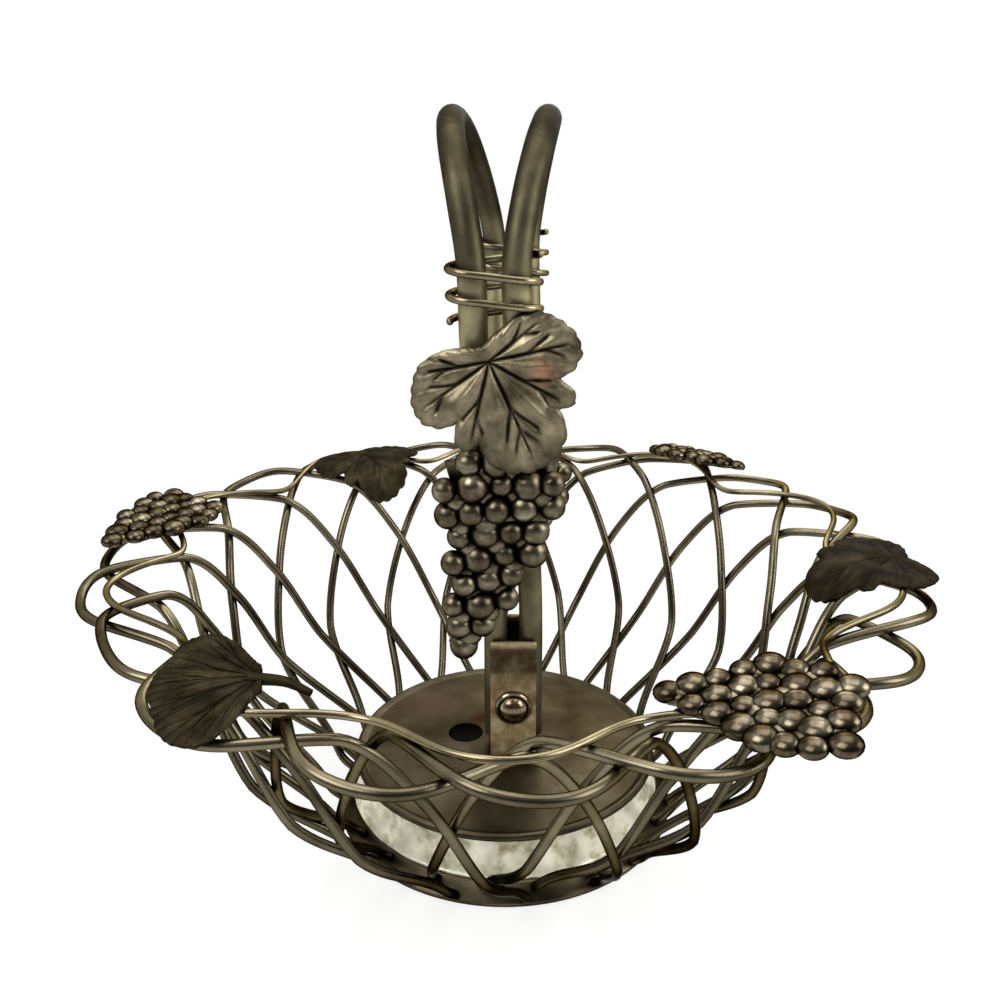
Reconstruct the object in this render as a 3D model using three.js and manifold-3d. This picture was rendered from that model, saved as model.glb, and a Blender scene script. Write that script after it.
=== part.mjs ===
// Centrepiece basket: looped wires woven into an open bowl on a drum foot, a pivoting handle
// of two bent tubes, and cast vine leaves and grapes. Millimetres, +Z up; the origin is the
// centre of the foot on the table, and the side seen in the photograph faces -Y.
import * as THREE from 'three';
import { mergeVertices } from 'three/addons/utils/BufferGeometryUtils.js';
import Module from 'manifold-3d';

const wasm = await Module();
wasm.setup();

// Clearances
const touch = 0.3;              // between pieces that rest on or are soldered to each other
const weaveGap = 0.35;          // between two loop wires where one passes over the other
const waveLift = 0.3;           // rim wire above the loops it lies on
const runningFit = 0.1;         // radial, bolt in its bush and in the bracket's ears
const cutPast = 2;              // how far a cutting bar runs past the faces it goes through
const halvings = 40;            // in a search for a place along a curve

// Loop wires
const loopCount = 20;
const loopWire = 3.7;           // wire diameter
const loopSides = 5;
const loopSteps = 28;
const firstLoop = 270;          // azimuth of the first loop's crown, degrees
const crownRadius = 160;        // wire centre at the tip of a loop
const crownHeight = 110.7;
const crownEase = 5.1;          // turn in which a loop changes from the lower to the upper layer
const seatRadius = 68.2;        // where a wire meets the foot ring
const seatHeight = 4.7;
const seatSlope = 43;           // slope of the wire as it meets the ring, degrees
const seatTurn = 43.2;          // from a loop's crown to its feet, degrees round the basket
const seatStraight = 8;         // last stretch of wire, square to its seat
const bowlWall = [              // wire centre between crown and foot
  { turn: crownEase, radius: 159, height: 113.3 },
  { turn: 8.5, radius: 149.3, height: 111.8 },
  { turn: 17, radius: 129.1, height: 106.7 },
  { turn: 25.3, radius: 118.6, height: 82.6 },
  { turn: 34, radius: 106.2, height: 42.8 },
  { turn: 40.2, radius: 78, height: 17.1 },
];
const handBend = [              // how far each loop stands from its even place, degrees
  2, 3, 1, -1, 0, 1, 0, 0, 1, 1, 0, 0, 0, 0, -1, 0, -3, -5, -1, 4,
];
const pushedIn = { loop: 17, by: 7 };  // one loop whose tip has been pushed in

// Rim wire
const waveWire = 2.5;
const waveCount = 10;
const waveRadius = 141;
const waveSwing = 9;            // in and out from its mean radius
const waveFirstOut = 270;       // azimuth of one outward wave
const waveStepsEach = 8;
const waveSides = 5;
const wallShare = 0.6;          // first part of the bowl's wall, in which its radius falls steadily

// Foot ring, drum and disc
const roundSides = 40;
const ringInner = 61;
const ringChamfer = 0.8;
const seatHalfWidth = 4.1;      // of the sloped face that carries the wires' ends
const drumFootRadius = 64.9;    // the drum narrows a little from the ring to the disc
const drumWall = 1.5;
const discTop = 25;
const discThickness = 1.6;
const lipOuter = 63.3;
const lipWidth = 2.4;
const lipRise = 1;
const lipDrop = 1.2;
const lipRound = 0.5;           // easing of the lip's edges
const discHole = { x: -17, y: 7, radius: 7.5 };
const holeSides = 20;

// Pivot bracket, bolt and bush
const pivotX = 3.5;
const pivotHeight = 50;
const strapWidth = 18.7;
const strapThickness = 2.6;
const strapTop = 79;
const earGap = 22.4;            // between the two ears
const boltRadius = 2;
const boltHeadRadius = 7.3;
const boltHeadHeight = 5;
const boltHeadRim = 0.5;         // upright edge under the head's dome
const boltSides = 20;
const nutRadius = 5;
const nutHeight = 3.6;
const boltTail = 1.2;           // thread standing past the nut
const bushWall = 1.1;
const rivetRadius = 1.6;
const rivetSpacing = 11;
const rivetHead = 2.9;
const rivetHeadFlat = 2.3;
const rivetHeadHeight = 1;
const rivetSides = 12;

// Handle tubes
const tubeRadius = 4.75;
const tubeSides = 8;
const tubeSteps = 36;
const tubeSpread = 7.2;         // from the middle of the pair to each tube's centre
const handleYaw = 0.059;        // sideways shift of the pair for each mm towards the back
const handleLean = -0.021;      // and for each mm above the pivot
const leanRun = 60;             // height above the ears in which the shift sets in
const handleEnd = 34;           // height of the tubes' lower ends
const handleTop = 276.3;        // tube centre at the top
const handleReach = 53;         // tube centre from the pivot's plane at the widest
const tubeInset = 6;            // tube centre from the pivot's plane between the ears
const handleSide = [            // one leg from the ears up: height, reach, extra spread
  { height: 84, reach: 6.2, splay: 0 },
  { height: 100, reach: 10, splay: 0 },
  { height: 122, reach: 20, splay: 0 },
  { height: 150, reach: 33.5, splay: 0 },
  { height: 180, reach: 44.5, splay: 0 },
  { height: 206, reach: 50.6, splay: 0 },
  { height: 232, reach: handleReach, splay: 0 },
  { height: 250, reach: 47.5, splay: 2.8 },
  { height: 266, reach: 34.5, splay: 6.4 },
  { height: 274, reach: 18, splay: 8.6 },
];
const topSplay = 9.4;           // extra spread at the very top

// Binding wire round each pair of legs
const bindWire = 2.6;
const bindTurns = 2.55;
const bindStart = 0.32;         // part of a turn where it begins, at the right-hand bend
const bindGap = 5.8;            // between turns
const bindLoose = 1.25;         // between the tubes and the wire's bends
const bindMiddle = 224;
const bindStepsEach = 14;
const bindSides = 5;

// Cast ornaments
const leafThickness = 1.6;
const bigGrape = { radius: 4.9, pitch: 9, rowPitch: 9.15, squash: 1 };
const smallGrape = { radius: 4.1, pitch: 7.2, rowPitch: 6.9, squash: 0.8 };
const stemCore = { share: 0.97, flatness: 0.22, sides: 4, bands: 3 };
const castUneven = { lift: 0.2, across: 0.5, along: 0.8, swell: 0.07 };
const castWaves = {             // how fast each unevenness runs, by row and by grape
  lift: [2.1, 1.7], swell: [5, 3], across: [3, 1], along: [1, 1.3],
};
const castTurn = 0.7;           // turn of one grape against the next

// Finishes
const finish = {
  wire: { color: 0x6e6754, roughness: 0.32, metalness: 1 },
  plate: { color: 0x5f5846, roughness: 0.38, metalness: 1 },
  bright: { color: 0xb9b28e, roughness: 0.22, metalness: 1 },
  strap: { color: 0x7d6a56, roughness: 0.42, metalness: 1 },
  tube: { color: 0x5d5947, roughness: 0.36, metalness: 1 },
  leaf: { color: 0x4a4434, roughness: 0.6, metalness: 0.9 },
  grape: { color: 0x6a5f4e, roughness: 0.25, metalness: 1 },
};

const toRadians = THREE.MathUtils.degToRad;
const basket = new THREE.Group();

function addPiece(name, geometry, look) {
  const material = new THREE.MeshStandardMaterial(finish[look]);
  const mesh = new THREE.Mesh(geometry, material);
  mesh.name = name;
  basket.add(mesh);
  return mesh;
}

function atPolar(radius, degrees, height) {
  const angle = toRadians(degrees);
  return new THREE.Vector3(radius * Math.cos(angle), radius * Math.sin(angle), height);
}

// A copy with shared vertices and with its faces turned outwards
function closedBody(geometry) {
  const copy = geometry.clone();
  copy.deleteAttribute('normal');
  copy.deleteAttribute('uv');
  const body = mergeVertices(copy, 1e-4);
  const place = body.attributes.position;
  const index = body.index.array;
  const [a, b, c] = [new THREE.Vector3(), new THREE.Vector3(), new THREE.Vector3()];
  let volume = 0;
  for (let i = 0; i < index.length; i += 3) {
    a.fromBufferAttribute(place, index[i]);
    b.fromBufferAttribute(place, index[i + 1]);
    c.fromBufferAttribute(place, index[i + 2]);
    volume += a.dot(b.cross(c)) / 6;
  }
  if (volume < 0) {
    for (let i = 0; i < index.length; i += 3) {
      [index[i], index[i + 1]] = [index[i + 1], index[i]];
    }
  }
  return body;
}

function toSolid(geometry) {
  const body = closedBody(geometry);
  return new wasm.Manifold(new wasm.Mesh({
    numProp: 3,
    vertProperties: new Float32Array(body.attributes.position.array),
    triVerts: new Uint32Array(body.index.array),
  }));
}

function fromSolid(solid) {
  const mesh = solid.getMesh();
  const geometry = new THREE.BufferGeometry();
  geometry.setAttribute('position', new THREE.BufferAttribute(mesh.vertProperties, 3));
  geometry.setIndex(new THREE.BufferAttribute(mesh.triVerts, 1));
  return geometry;
}

function roundSection(radius, sides) {
  const shape = new THREE.Shape();
  for (let i = 0; i < sides; i += 1) {
    const angle = 2 * Math.PI * i / sides;
    const [x, y] = [radius * Math.cos(angle), radius * Math.sin(angle)];
    if (i === 0) shape.moveTo(x, y);
    else shape.lineTo(x, y);
  }
  shape.closePath();
  return shape;
}

function bentWire(path, diameter, sides, steps) {
  const section = roundSection(diameter / 2, sides);
  return closedBody(new THREE.ExtrudeGeometry(section, {
    steps, bevelEnabled: false, extrudePath: path,
  }));
}

// The place between two values where a test that holds at the first one stops holding
function turningPoint(from, to, holds) {
  let [low, high] = [from, to];
  for (let i = 0; i < halvings; i += 1) {
    const middle = (low + high) / 2;
    if (holds(middle)) low = middle;
    else high = middle;
  }
  return low;
}

function turned(profile, sides) {
  const points = profile.map(([radius, height]) => new THREE.Vector2(radius, height));
  const lathe = new THREE.LatheGeometry(points, sides);
  lathe.rotateX(Math.PI / 2);
  return closedBody(lathe);
}

// A round bar along +Z or along Y, used as a pin or to cut a hole
function bar(radius, from, to, sides, { x = 0, y = 0, z = 0, alongY = false } = {}) {
  const geometry = new THREE.CylinderGeometry(radius, radius, to - from, sides);
  if (!alongY) geometry.rotateX(Math.PI / 2);
  const middle = (from + to) / 2;
  geometry.translate(x, alongY ? middle : y, alongY ? z : middle);
  return geometry;
}

// The bowl's wall as radius and height, from the crown down to the seat on the foot ring
const slope = toRadians(seatSlope);
const straightTop = {
  turn: seatTurn,
  radius: seatRadius + seatStraight * Math.cos(slope),
  height: seatHeight + seatStraight * Math.sin(slope),
};
const wall = [
  { turn: 0, radius: crownRadius, height: crownHeight },
  ...bowlWall,
  straightTop,
  {
    turn: seatTurn,
    radius: seatRadius + touch * Math.cos(slope),
    height: seatHeight + touch * Math.sin(slope),
  },
];

// Outward direction of the wall at a node, in radius and height
function wallNormal(i) {
  if (i === 0) return new THREE.Vector2(0, -1);
  const before = wall[i - 1];
  const after = wall[Math.min(i + 1, wall.length - 1)];
  const along = new THREE.Vector2(after.radius - before.radius, after.height - before.height);
  return new THREE.Vector2(-along.y, along.x).normalize();
}

const layer = loopWire / 2 + weaveGap / 2;

function loopPath(azimuth, short) {
  const nodes = [];
  const last = wall.length - 1;
  for (let i = -last; i <= last; i += 1) {
    const node = wall[Math.abs(i)];
    const offset = layer * Math.sign(i);
    const normal = wallNormal(Math.abs(i));
    const tipRadius = Math.abs(i) <= 1 ? node.radius - short : node.radius;
    nodes.push(atPolar(
      tipRadius + offset * normal.x,
      azimuth + node.turn * Math.sign(i),
      node.height + offset * normal.y,
    ));
  }
  return new THREE.CatmullRomCurve3(nodes, false, 'centripetal');
}

for (let k = 0; k < loopCount; k += 1) {
  const azimuth = firstLoop + 360 * k / loopCount + handBend[k % handBend.length];
  const name = `loop_wire_${String(k + 1).padStart(2, '0')}`;
  const path = loopPath(azimuth, k === pushedIn.loop ? pushedIn.by : 0);
  addPiece(name, bentWire(path, loopWire, loopSides, loopSteps), 'wire');
}

// The thinner wire that waves round the rim, on top of the loops
const crown = new THREE.CatmullRomCurve3(
  wall.map((node) => new THREE.Vector3(node.radius, 0, node.height)), false, 'centripetal',
);

function rimPoint(radius, lift) {
  const share = turningPoint(0, wallShare, (t) => crown.getPoint(t).x > radius);
  const place = crown.getPoint(share);
  const along = crown.getTangent(share);
  return {
    radius: place.x + lift * along.z, height: place.z - lift * along.x, rise: along.z / along.x,
  };
}

const waveAbove = layer + loopWire / 2 + waveLift + waveWire / 2;

function waveNode(turn) {
  const phase = toRadians(waveCount * (turn - waveFirstOut));
  const spot = rimPoint(waveRadius + waveSwing * Math.cos(phase), waveAbove);
  return atPolar(spot.radius, turn, spot.height);
}

function closedWire(pointAt, diameter, sides, steps) {
  const positions = [];
  const index = [];
  for (let i = 0; i < steps; i += 1) {
    const turn = 360 * i / steps;
    const place = pointAt(turn);
    const along = pointAt(turn + 0.5).sub(pointAt(turn - 0.5)).normalize();
    const side = new THREE.Vector3(0, 0, 1).cross(along).normalize();
    const up = along.clone().cross(side);
    for (let j = 0; j < sides; j += 1) {
      const angle = 2 * Math.PI * j / sides;
      const point = place.clone()
        .addScaledVector(side, diameter / 2 * Math.cos(angle))
        .addScaledVector(up, diameter / 2 * Math.sin(angle));
      positions.push(point.x, point.y, point.z);
      const next = ((i + 1) % steps) * sides;
      const here = i * sides;
      const beside = (j + 1) % sides;
      index.push(here + j, here + beside, next + beside, here + j, next + beside, next + j);
    }
  }
  const geometry = new THREE.BufferGeometry();
  geometry.setAttribute('position', new THREE.Float32BufferAttribute(positions, 3));
  geometry.setIndex(index);
  return closedBody(geometry);
}

addPiece('rim_wave_wire', closedWire(waveNode, waveWire, waveSides, waveCount * waveStepsEach), 'wire');

// Foot: a heavy ring with a sloped seat for the wires, a bright drum on it, and the dished disc
const seatLow = {
  radius: seatRadius + seatHalfWidth * Math.sin(slope),
  height: seatHeight - seatHalfWidth * Math.cos(slope),
};
const seatHigh = {
  radius: seatRadius - seatHalfWidth * Math.sin(slope),
  height: seatHeight + seatHalfWidth * Math.cos(slope),
};
const ringTop = seatHigh.height;
addPiece('base_ring', turned([
  [ringInner, 0],
  [seatLow.radius - ringChamfer, 0],
  [seatLow.radius, ringChamfer],
  [seatLow.radius, seatLow.height],
  [seatHigh.radius, seatHigh.height],
  [ringInner, ringTop],
  [ringInner, 0],
], roundSides), 'plate');

const discUnder = discTop - discThickness;
const drumFoot = ringTop + touch;
const drumTop = discUnder - touch;
const lipInner = lipOuter - lipWidth;
const drumTopRadius = lipInner - touch;
addPiece('base_drum', turned([
  [drumFootRadius - drumWall, drumFoot],
  [drumFootRadius, drumFoot],
  [drumTopRadius, drumTop],
  [drumTopRadius - drumWall, drumTop],
  [drumFootRadius - drumWall, drumFoot],
], roundSides), 'bright');

const rivetPlaces = [-rivetSpacing / 2, rivetSpacing / 2];
const rivetHoleRadius = rivetRadius + touch;
let disc = toSolid(turned([
  [0, discUnder],
  [lipInner, discUnder],
  [lipInner + lipRound, discUnder - lipDrop],
  [lipOuter - lipRound, discUnder - lipDrop],
  [lipOuter, discUnder - lipDrop + lipRound],
  [lipOuter, discTop + lipRise - lipRound],
  [lipOuter - lipRound, discTop + lipRise],
  [lipInner + lipRound, discTop + lipRise],
  [lipInner - lipRound, discTop],
  [0, discTop],
], roundSides));
disc = disc.subtract(toSolid(bar(
  discHole.radius, discUnder - cutPast, discTop + cutPast, holeSides, { x: discHole.x, y: discHole.y },
)));
for (const offset of rivetPlaces) {
  disc = disc.subtract(toSolid(bar(
    rivetHoleRadius, discUnder - cutPast, discTop + cutPast, rivetSides, { x: pivotX + offset },
  )));
}
addPiece('top_disc', fromSolid(disc), 'plate');

// Bracket: one strip bent up into two ears
const bracketFoot = discTop + touch;
const plateTop = bracketFoot + strapThickness;
const earInner = earGap / 2;
const earOuter = earInner + strapThickness;
const strip = new THREE.Shape();
strip.moveTo(-earOuter, bracketFoot);
strip.lineTo(earOuter, bracketFoot);
strip.lineTo(earOuter, strapTop);
strip.lineTo(earInner, strapTop);
strip.lineTo(earInner, plateTop);
strip.lineTo(-earInner, plateTop);
strip.lineTo(-earInner, strapTop);
strip.lineTo(-earOuter, strapTop);
strip.closePath();
const bent = new THREE.ExtrudeGeometry(strip, { depth: strapWidth, bevelEnabled: false });
bent.applyMatrix4(new THREE.Matrix4().makeBasis(
  new THREE.Vector3(0, 1, 0), new THREE.Vector3(0, 0, 1), new THREE.Vector3(1, 0, 0),
));
bent.translate(pivotX - strapWidth / 2, 0, 0);
const atPivot = { x: pivotX, z: pivotHeight, alongY: true };
let bracket = toSolid(bent).subtract(toSolid(bar(
  boltRadius + runningFit, -earOuter - cutPast, earOuter + cutPast, boltSides, atPivot,
)));
for (const offset of rivetPlaces) {
  bracket = bracket.subtract(toSolid(bar(
    rivetHoleRadius, bracketFoot - cutPast, plateTop + cutPast, rivetSides, { x: pivotX + offset },
  )));
}
addPiece('pivot_bracket', fromSolid(bracket), 'strap');

['left', 'right'].forEach((side, i) => {
  const under = discUnder - touch;
  const over = plateTop + touch;
  const rivet = turned([
    [0, under - rivetHeadHeight],
    [rivetHeadFlat, under - rivetHeadHeight],
    [rivetHead, under],
    [rivetRadius, under],
    [rivetRadius, over],
    [rivetHead, over],
    [rivetHeadFlat, over + rivetHeadHeight],
    [0, over + rivetHeadHeight],
  ], rivetSides);
  rivet.translate(pivotX + rivetPlaces[i], 0, 0);
  addPiece(`bracket_rivet_${side}`, rivet, 'strap');
});

// Domed bolt through the ears, with its nut behind
const headFace = earOuter + touch;
const nutFace = headFace + nutHeight;
const boltProfile = [];
const domeSteps = 5;
const domeHeight = boltHeadHeight - boltHeadRim;
for (let i = 0; i <= domeSteps; i += 1) {
  const angle = Math.PI / 2 * i / domeSteps;
  boltProfile.push([
    boltHeadRadius * Math.sin(angle), -headFace - boltHeadRim - domeHeight * Math.cos(angle),
  ]);
}
boltProfile.push([boltHeadRadius, -headFace], [boltRadius, -headFace]);
boltProfile.push([boltRadius, nutFace + boltTail], [0, nutFace + boltTail]);

function alongBolt(geometry) {
  geometry.rotateX(-Math.PI / 2);
  geometry.translate(pivotX, 0, pivotHeight);
  return geometry;
}
addPiece('pivot_bolt', alongBolt(turned(boltProfile, boltSides)), 'strap');

const nutHole = boltRadius + runningFit;
const nut = toSolid(bar(nutRadius, headFace, nutFace, 6, atPivot)).subtract(toSolid(bar(
  nutHole, headFace - cutPast, nutFace + cutPast, boltSides, atPivot,
)));
addPiece('pivot_nut', fromSolid(nut), 'strap');

const bushBore = boltRadius + runningFit;
const bushRadius = bushBore + bushWall;
const bushHalf = earInner - touch;
addPiece('pivot_bush', alongBolt(turned([
  [bushBore, -bushHalf],
  [bushRadius, -bushHalf],
  [bushRadius, bushHalf],
  [bushBore, bushHalf],
  [bushBore, -bushHalf],
], boltSides)), 'strap');

// Handle: two tubes, each bent into a hoop whose ends stand between the ears
function pairMiddle(y, z) {
  return pivotX + handleYaw * y + handleLean * (z - pivotHeight);
}

function hoopPath(side) {
  const leg = [
    { height: handleEnd, reach: tubeInset, splay: 0 },
    { height: (handleEnd + strapTop) / 2, reach: tubeInset, splay: 0 },
    { height: strapTop, reach: tubeInset, splay: 0 },
    ...handleSide,
  ];
  const whole = [
    ...leg.map((node) => ({ ...node, y: -node.reach })),
    { height: handleTop, y: 0, splay: topSplay },
    ...leg.map((node) => ({ ...node, y: node.reach })).reverse(),
  ];
  const nodes = whole.map(({ height, y, splay }) => {
    const straight = Math.min(1, Math.max(0, (height - strapTop) / leanRun));
    const middle = pivotX + (pairMiddle(y, height) - pivotX) * straight;
    return new THREE.Vector3(middle + side * (tubeSpread + splay), y, height);
  });
  return new THREE.CatmullRomCurve3(nodes, false, 'centripetal');
}

// Middle of a leg's two tubes at a height, with sign -1 for the near leg
function legMiddle(sign, height) {
  const spots = [-1, 1].map((side) => {
    const path = hoopPath(side);
    const end = sign < 0 ? 0 : 1;
    return path.getPoint(turningPoint(end, 0.5, (t) => path.getPoint(t).z < height));
  });
  return spots[0].lerp(spots[1], 0.5);
}

const cope = toSolid(bar(bushRadius + touch, -earInner, earInner, boltSides, atPivot));
const hoopSides = { left: -1, right: 1 };
for (const [side, sign] of Object.entries(hoopSides)) {
  const hoop = bentWire(hoopPath(sign), 2 * tubeRadius, tubeSides, tubeSteps);
  addPiece(`handle_hoop_${side}`, fromSolid(toSolid(hoop).subtract(cope)), 'tube');
}

// Wire wound round both tubes of a leg, as one unbroken wire
const bindRadius = tubeRadius + bindLoose + bindWire / 2;
const bindDrop = bindWire + bindGap;

class BindingPath extends THREE.Curve {
  constructor(sign) {
    super();
    this.sign = sign;
  }

  getPoint(t) {
    const turns = bindStart + t * bindTurns;
    const flat = 2 * tubeSpread;
    const arc = Math.PI * bindRadius;
    let along = (turns % 1) * 2 * (flat + arc);
    let [x, y] = [0, 0];
    if (along < flat) {
      [x, y] = [-tubeSpread + along, -bindRadius];
    } else if (along < flat + arc) {
      const angle = (along - flat) / bindRadius;
      [x, y] = [tubeSpread + bindRadius * Math.sin(angle), -bindRadius * Math.cos(angle)];
    } else if (along < 2 * flat + arc) {
      along -= flat + arc;
      [x, y] = [tubeSpread - along, bindRadius];
    } else {
      const angle = (along - 2 * flat - arc) / bindRadius;
      [x, y] = [-tubeSpread - bindRadius * Math.sin(angle), bindRadius * Math.cos(angle)];
    }
    const height = bindMiddle + bindDrop * bindTurns * (0.5 - t);
    return legMiddle(this.sign, height).add(new THREE.Vector3(x, y, 0));
  }
}

const gapSamples = 30;          // points looked at in each half turn

function leastSelfGap(path, turns, diameter) {
  const points = path.getPoints(Math.round(2 * turns * gapSamples));
  let least = Infinity;
  for (let i = 0; i < points.length; i += 1) {
    for (let j = i + gapSamples; j < points.length; j += 1) {
      least = Math.min(least, points[i].distanceTo(points[j]) - diameter);
    }
  }
  return least;
}

const legs = { near: -1, far: 1 };
for (const [name, sign] of Object.entries(legs)) {
  const path = new BindingPath(sign);
  const wound = bentWire(path, bindWire, bindSides, Math.round(bindTurns * bindStepsEach));
  addPiece(`${name}_binding_wire`, wound, 'wire');
  const gap = leastSelfGap(path, bindTurns, bindWire);
  console.log(`${name} binding wire: least gap to itself ${gap.toFixed(2)} mm`);
}

// Vine leaf: local +Y runs to the tip, +Z is the upper face; the stem joins at the origin
const leafEdge = [              // angle from the tip, share of the leaf's length
  [0, 1], [14, 0.96], [24, 0.86], [31, 0.7], [40, 0.79], [47, 0.73], [52, 0.58], [60, 0.69],
  [71, 0.76], [83, 0.74], [96, 0.66], [109, 0.58], [122, 0.43], [135, 0.27], [156, 0.16],
];
const leafMiddle = 0.55;        // share of the way out to the edge where the plate is shaped
const leafNotch = 52;           // angle of the notch between the tip lobe and the side lobes

// Sweep turns the two sides towards the tip, and sides lengthens the side lobes
function vineLeaf({
  length, cup, foldFrom = length, foldRate = 0, foldTurn = 0, sweep = [1, 1], sides = 1,
}) {
  const edge = [
    ...leafEdge,
    ...leafEdge.slice(1).reverse().map(([angle, share]) => [360 - angle, share]),
  ];
  const spots = [[0, 0]];
  for (const share of [leafMiddle, 1]) {
    for (const [angle, reach] of edge) {
      const away = angle > 180 ? angle - 360 : angle;
      const radius = length * reach * share * (Math.abs(away) > leafNotch ? sides : 1);
      const turn = toRadians(away * (away > 0 ? sweep[0] : sweep[1]));
      spots.push([radius * Math.sin(turn), radius * Math.cos(turn)]);
    }
  }
  const fold = toRadians(foldTurn);
  const level = ([x, y]) => {
    const past = Math.max(0, x * Math.sin(fold) + y * Math.cos(fold) - foldFrom);
    return -cup * (x * x + y * y) - foldRate * past * past;
  };
  const positions = [];
  for (const half of [leafThickness / 2, -leafThickness / 2]) {
    for (const spot of spots) positions.push(spot[0], spot[1], level(spot) + half);
  }
  const count = edge.length;
  const under = spots.length;
  const index = [];
  for (let i = 0; i < count; i += 1) {
    const next = (i + 1) % count;
    const [a, b] = [1 + i, 1 + next];
    const [c, d] = [1 + count + i, 1 + count + next];
    index.push(0, b, a, a, b, d, a, d, c);
    index.push(under, under + a, under + b, under + a, under + d, under + b);
    index.push(under + a, under + c, under + d, c, d, under + d, c, under + d, under + c);
  }
  const geometry = new THREE.BufferGeometry();
  geometry.setAttribute('position', new THREE.Float32BufferAttribute(positions, 3));
  geometry.setIndex(index);
  return geometry;
}

// Bunch of grapes with a flat back: local +Y runs to the tip, +Z is the front, the rows hold
// the given counts, and the tip is bent sideways
function grapeBunch({ size, rows, belly, back, bend = 0 }) {
  const length = (rows.length - 1) * size.rowPitch;
  const most = Math.max(...rows);
  const widest = most * size.pitch / 2;
  const sway = (along) => bend * (along / length) ** 2;
  const core = new THREE.CylinderGeometry(
    size.radius, widest * stemCore.share, length, stemCore.sides, stemCore.bands,
    false, Math.PI / 2,
  );
  core.scale(1, 1, stemCore.flatness);
  core.translate(0, length / 2, 0);
  const spots = core.attributes.position;
  for (let i = 0; i < spots.count; i += 1) {
    spots.setX(i, spots.getX(i) + sway(spots.getY(i)));
  }
  let bunch = toSolid(core);
  rows.forEach((count, row) => {
    const full = (count + 1) / (most + 1);
    for (let i = 0; i < count; i += 1) {
      const across = (i - (count - 1) / 2) * size.pitch;
      const rounded = Math.sqrt(1 - (across / (widest + size.pitch)) ** 2);
      const wave = ([eachRow, eachGrape]) => Math.sin(eachRow * row + eachGrape * i);
      const uneven = 1 - castUneven.lift * (1 - wave(castWaves.lift));
      const swell = 1 + castUneven.swell * wave(castWaves.swell);
      const grape = new THREE.IcosahedronGeometry(size.radius * swell);
      grape.rotateZ(row + i);
      grape.rotateX(castTurn * i);
      grape.scale(1, 1, size.squash);
      grape.translate(
        across + sway(row * size.rowPitch) + castUneven.across * wave(castWaves.across),
        row * size.rowPitch + castUneven.along * wave(castWaves.along),
        belly * rounded * full * uneven,
      );
      bunch = bunch.add(toSolid(grape));
    }
  });
  const behind = new THREE.BoxGeometry(4 * widest, 3 * length, 4 * size.radius);
  behind.translate(0, length / 2, -back - 2 * size.radius);
  return fromSolid(bunch.subtract(toSolid(behind)));
}

// Local +Y along tip and +Z close to face, at a place in the basket
function placed(geometry, place, tip, face) {
  const y = tip.clone().normalize();
  const z = face.clone().addScaledVector(y, -face.dot(y)).normalize();
  const x = y.clone().cross(z);
  geometry.applyMatrix4(new THREE.Matrix4().makeBasis(x, y, z).setPosition(place));
  return closedBody(geometry);
}

// Ornaments on the handle's two legs
const handleLeaf = { length: 38.5, cup: 0.001, height: 202, turn: 0.45 };
const handleGrapes = {
  size: bigGrape, belly: 5.5, back: 3.5, ahead: 4.6, drift: 0.09, slant: 0.14,
};
const bunchBend = 20;           // sideways shift of a handle bunch's tip
const legOrnaments = {
  near: { lower: 0, lean: 0.06, aside: -2.4, ahead: 5.3, below: 34, bunchAside: -1,
    rows: [3, 5, 5, 4, 4, 3, 3, 2, 1] },
  far: { lower: 20, lean: -0.2, aside: -6, ahead: 3.9, below: 41, bunchAside: 3,
    rows: [3, 5, 5, 4, 3, 2, 1] },
};
for (const [name, sign] of Object.entries(legs)) {
  const outward = new THREE.Vector3(0, sign, 0);
  const { lower, lean, aside, ahead, below, bunchAside, rows } = legOrnaments[name];
  const leafHeight = handleLeaf.height - lower;
  const leafSeat = legMiddle(sign, leafHeight);
  leafSeat.x += aside;
  const leaf = placed(
    vineLeaf(handleLeaf),
    leafSeat.addScaledVector(outward, tubeRadius + ahead),
    new THREE.Vector3(handleLeaf.turn, sign * lean, -1),
    outward,
  );
  addPiece(`${name}_leaf`, leaf, 'leaf');
  const grapesSeat = legMiddle(sign, leafHeight - below);
  grapesSeat.x += bunchAside;
  const grapes = placed(
    grapeBunch({ ...handleGrapes, rows, bend: -sign * bunchBend }),
    grapesSeat.addScaledVector(outward, tubeRadius + handleGrapes.ahead),
    new THREE.Vector3(handleGrapes.drift, -sign * handleGrapes.slant, -1),
    outward,
  );
  addPiece(`${name}_grapes`, grapes, 'grape');
}

// Ornaments lying on the rim; heading is the way the tip points, as an azimuth
const rimOrnaments = [
  { name: 'rim_leaf_right', azimuth: 352, out: 8, heading: 193, lift: 0.7,
    leaf: { length: 33, cup: 0.001, foldFrom: 11, foldRate: 0.024, sweep: [1.1, 0.92] } },
  { name: 'rim_leaf_rear', azimuth: 122, out: -3, heading: 303, lift: 2.1,
    leaf: { length: 33, cup: 0.001, foldFrom: 9, foldRate: 0.028, foldTurn: 25, sides: 1.12 } },
  { name: 'rim_leaf_left', azimuth: 238.3, out: -7, heading: 184, lift: 4.5, tilt: 0.3,
    leaf: { length: 31, cup: 0.001, sweep: [0.47, 0.57], sides: 1.4 } },
  { name: 'rim_grapes_rear', azimuth: 55, out: 3, heading: 318, lift: 2.5, tilt: -0.42,
    grapes: { size: smallGrape, rows: [3, 4, 4, 3, 3, 2, 1], belly: 1.2, back: 1 } },
  { name: 'rim_grapes_left', azimuth: 163.5, out: 2, heading: 249, lift: 1.4,
    grapes: { size: smallGrape, rows: [4, 5, 5, 4, 4, 3, 2, 1], belly: 1.2, back: 1 } },
  { name: 'rim_grapes_right', azimuth: 304, out: 22, heading: 158, lift: 5.4, slant: -0.18,
    tilt: 0.33,
    grapes: { size: smallGrape, rows: [4, 5, 5, 5, 4, 3, 2, 1], belly: 1.2, back: 1.2 } },
];
const onWave = rimPoint(waveRadius, waveAbove + waveWire / 2 + touch);
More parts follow.
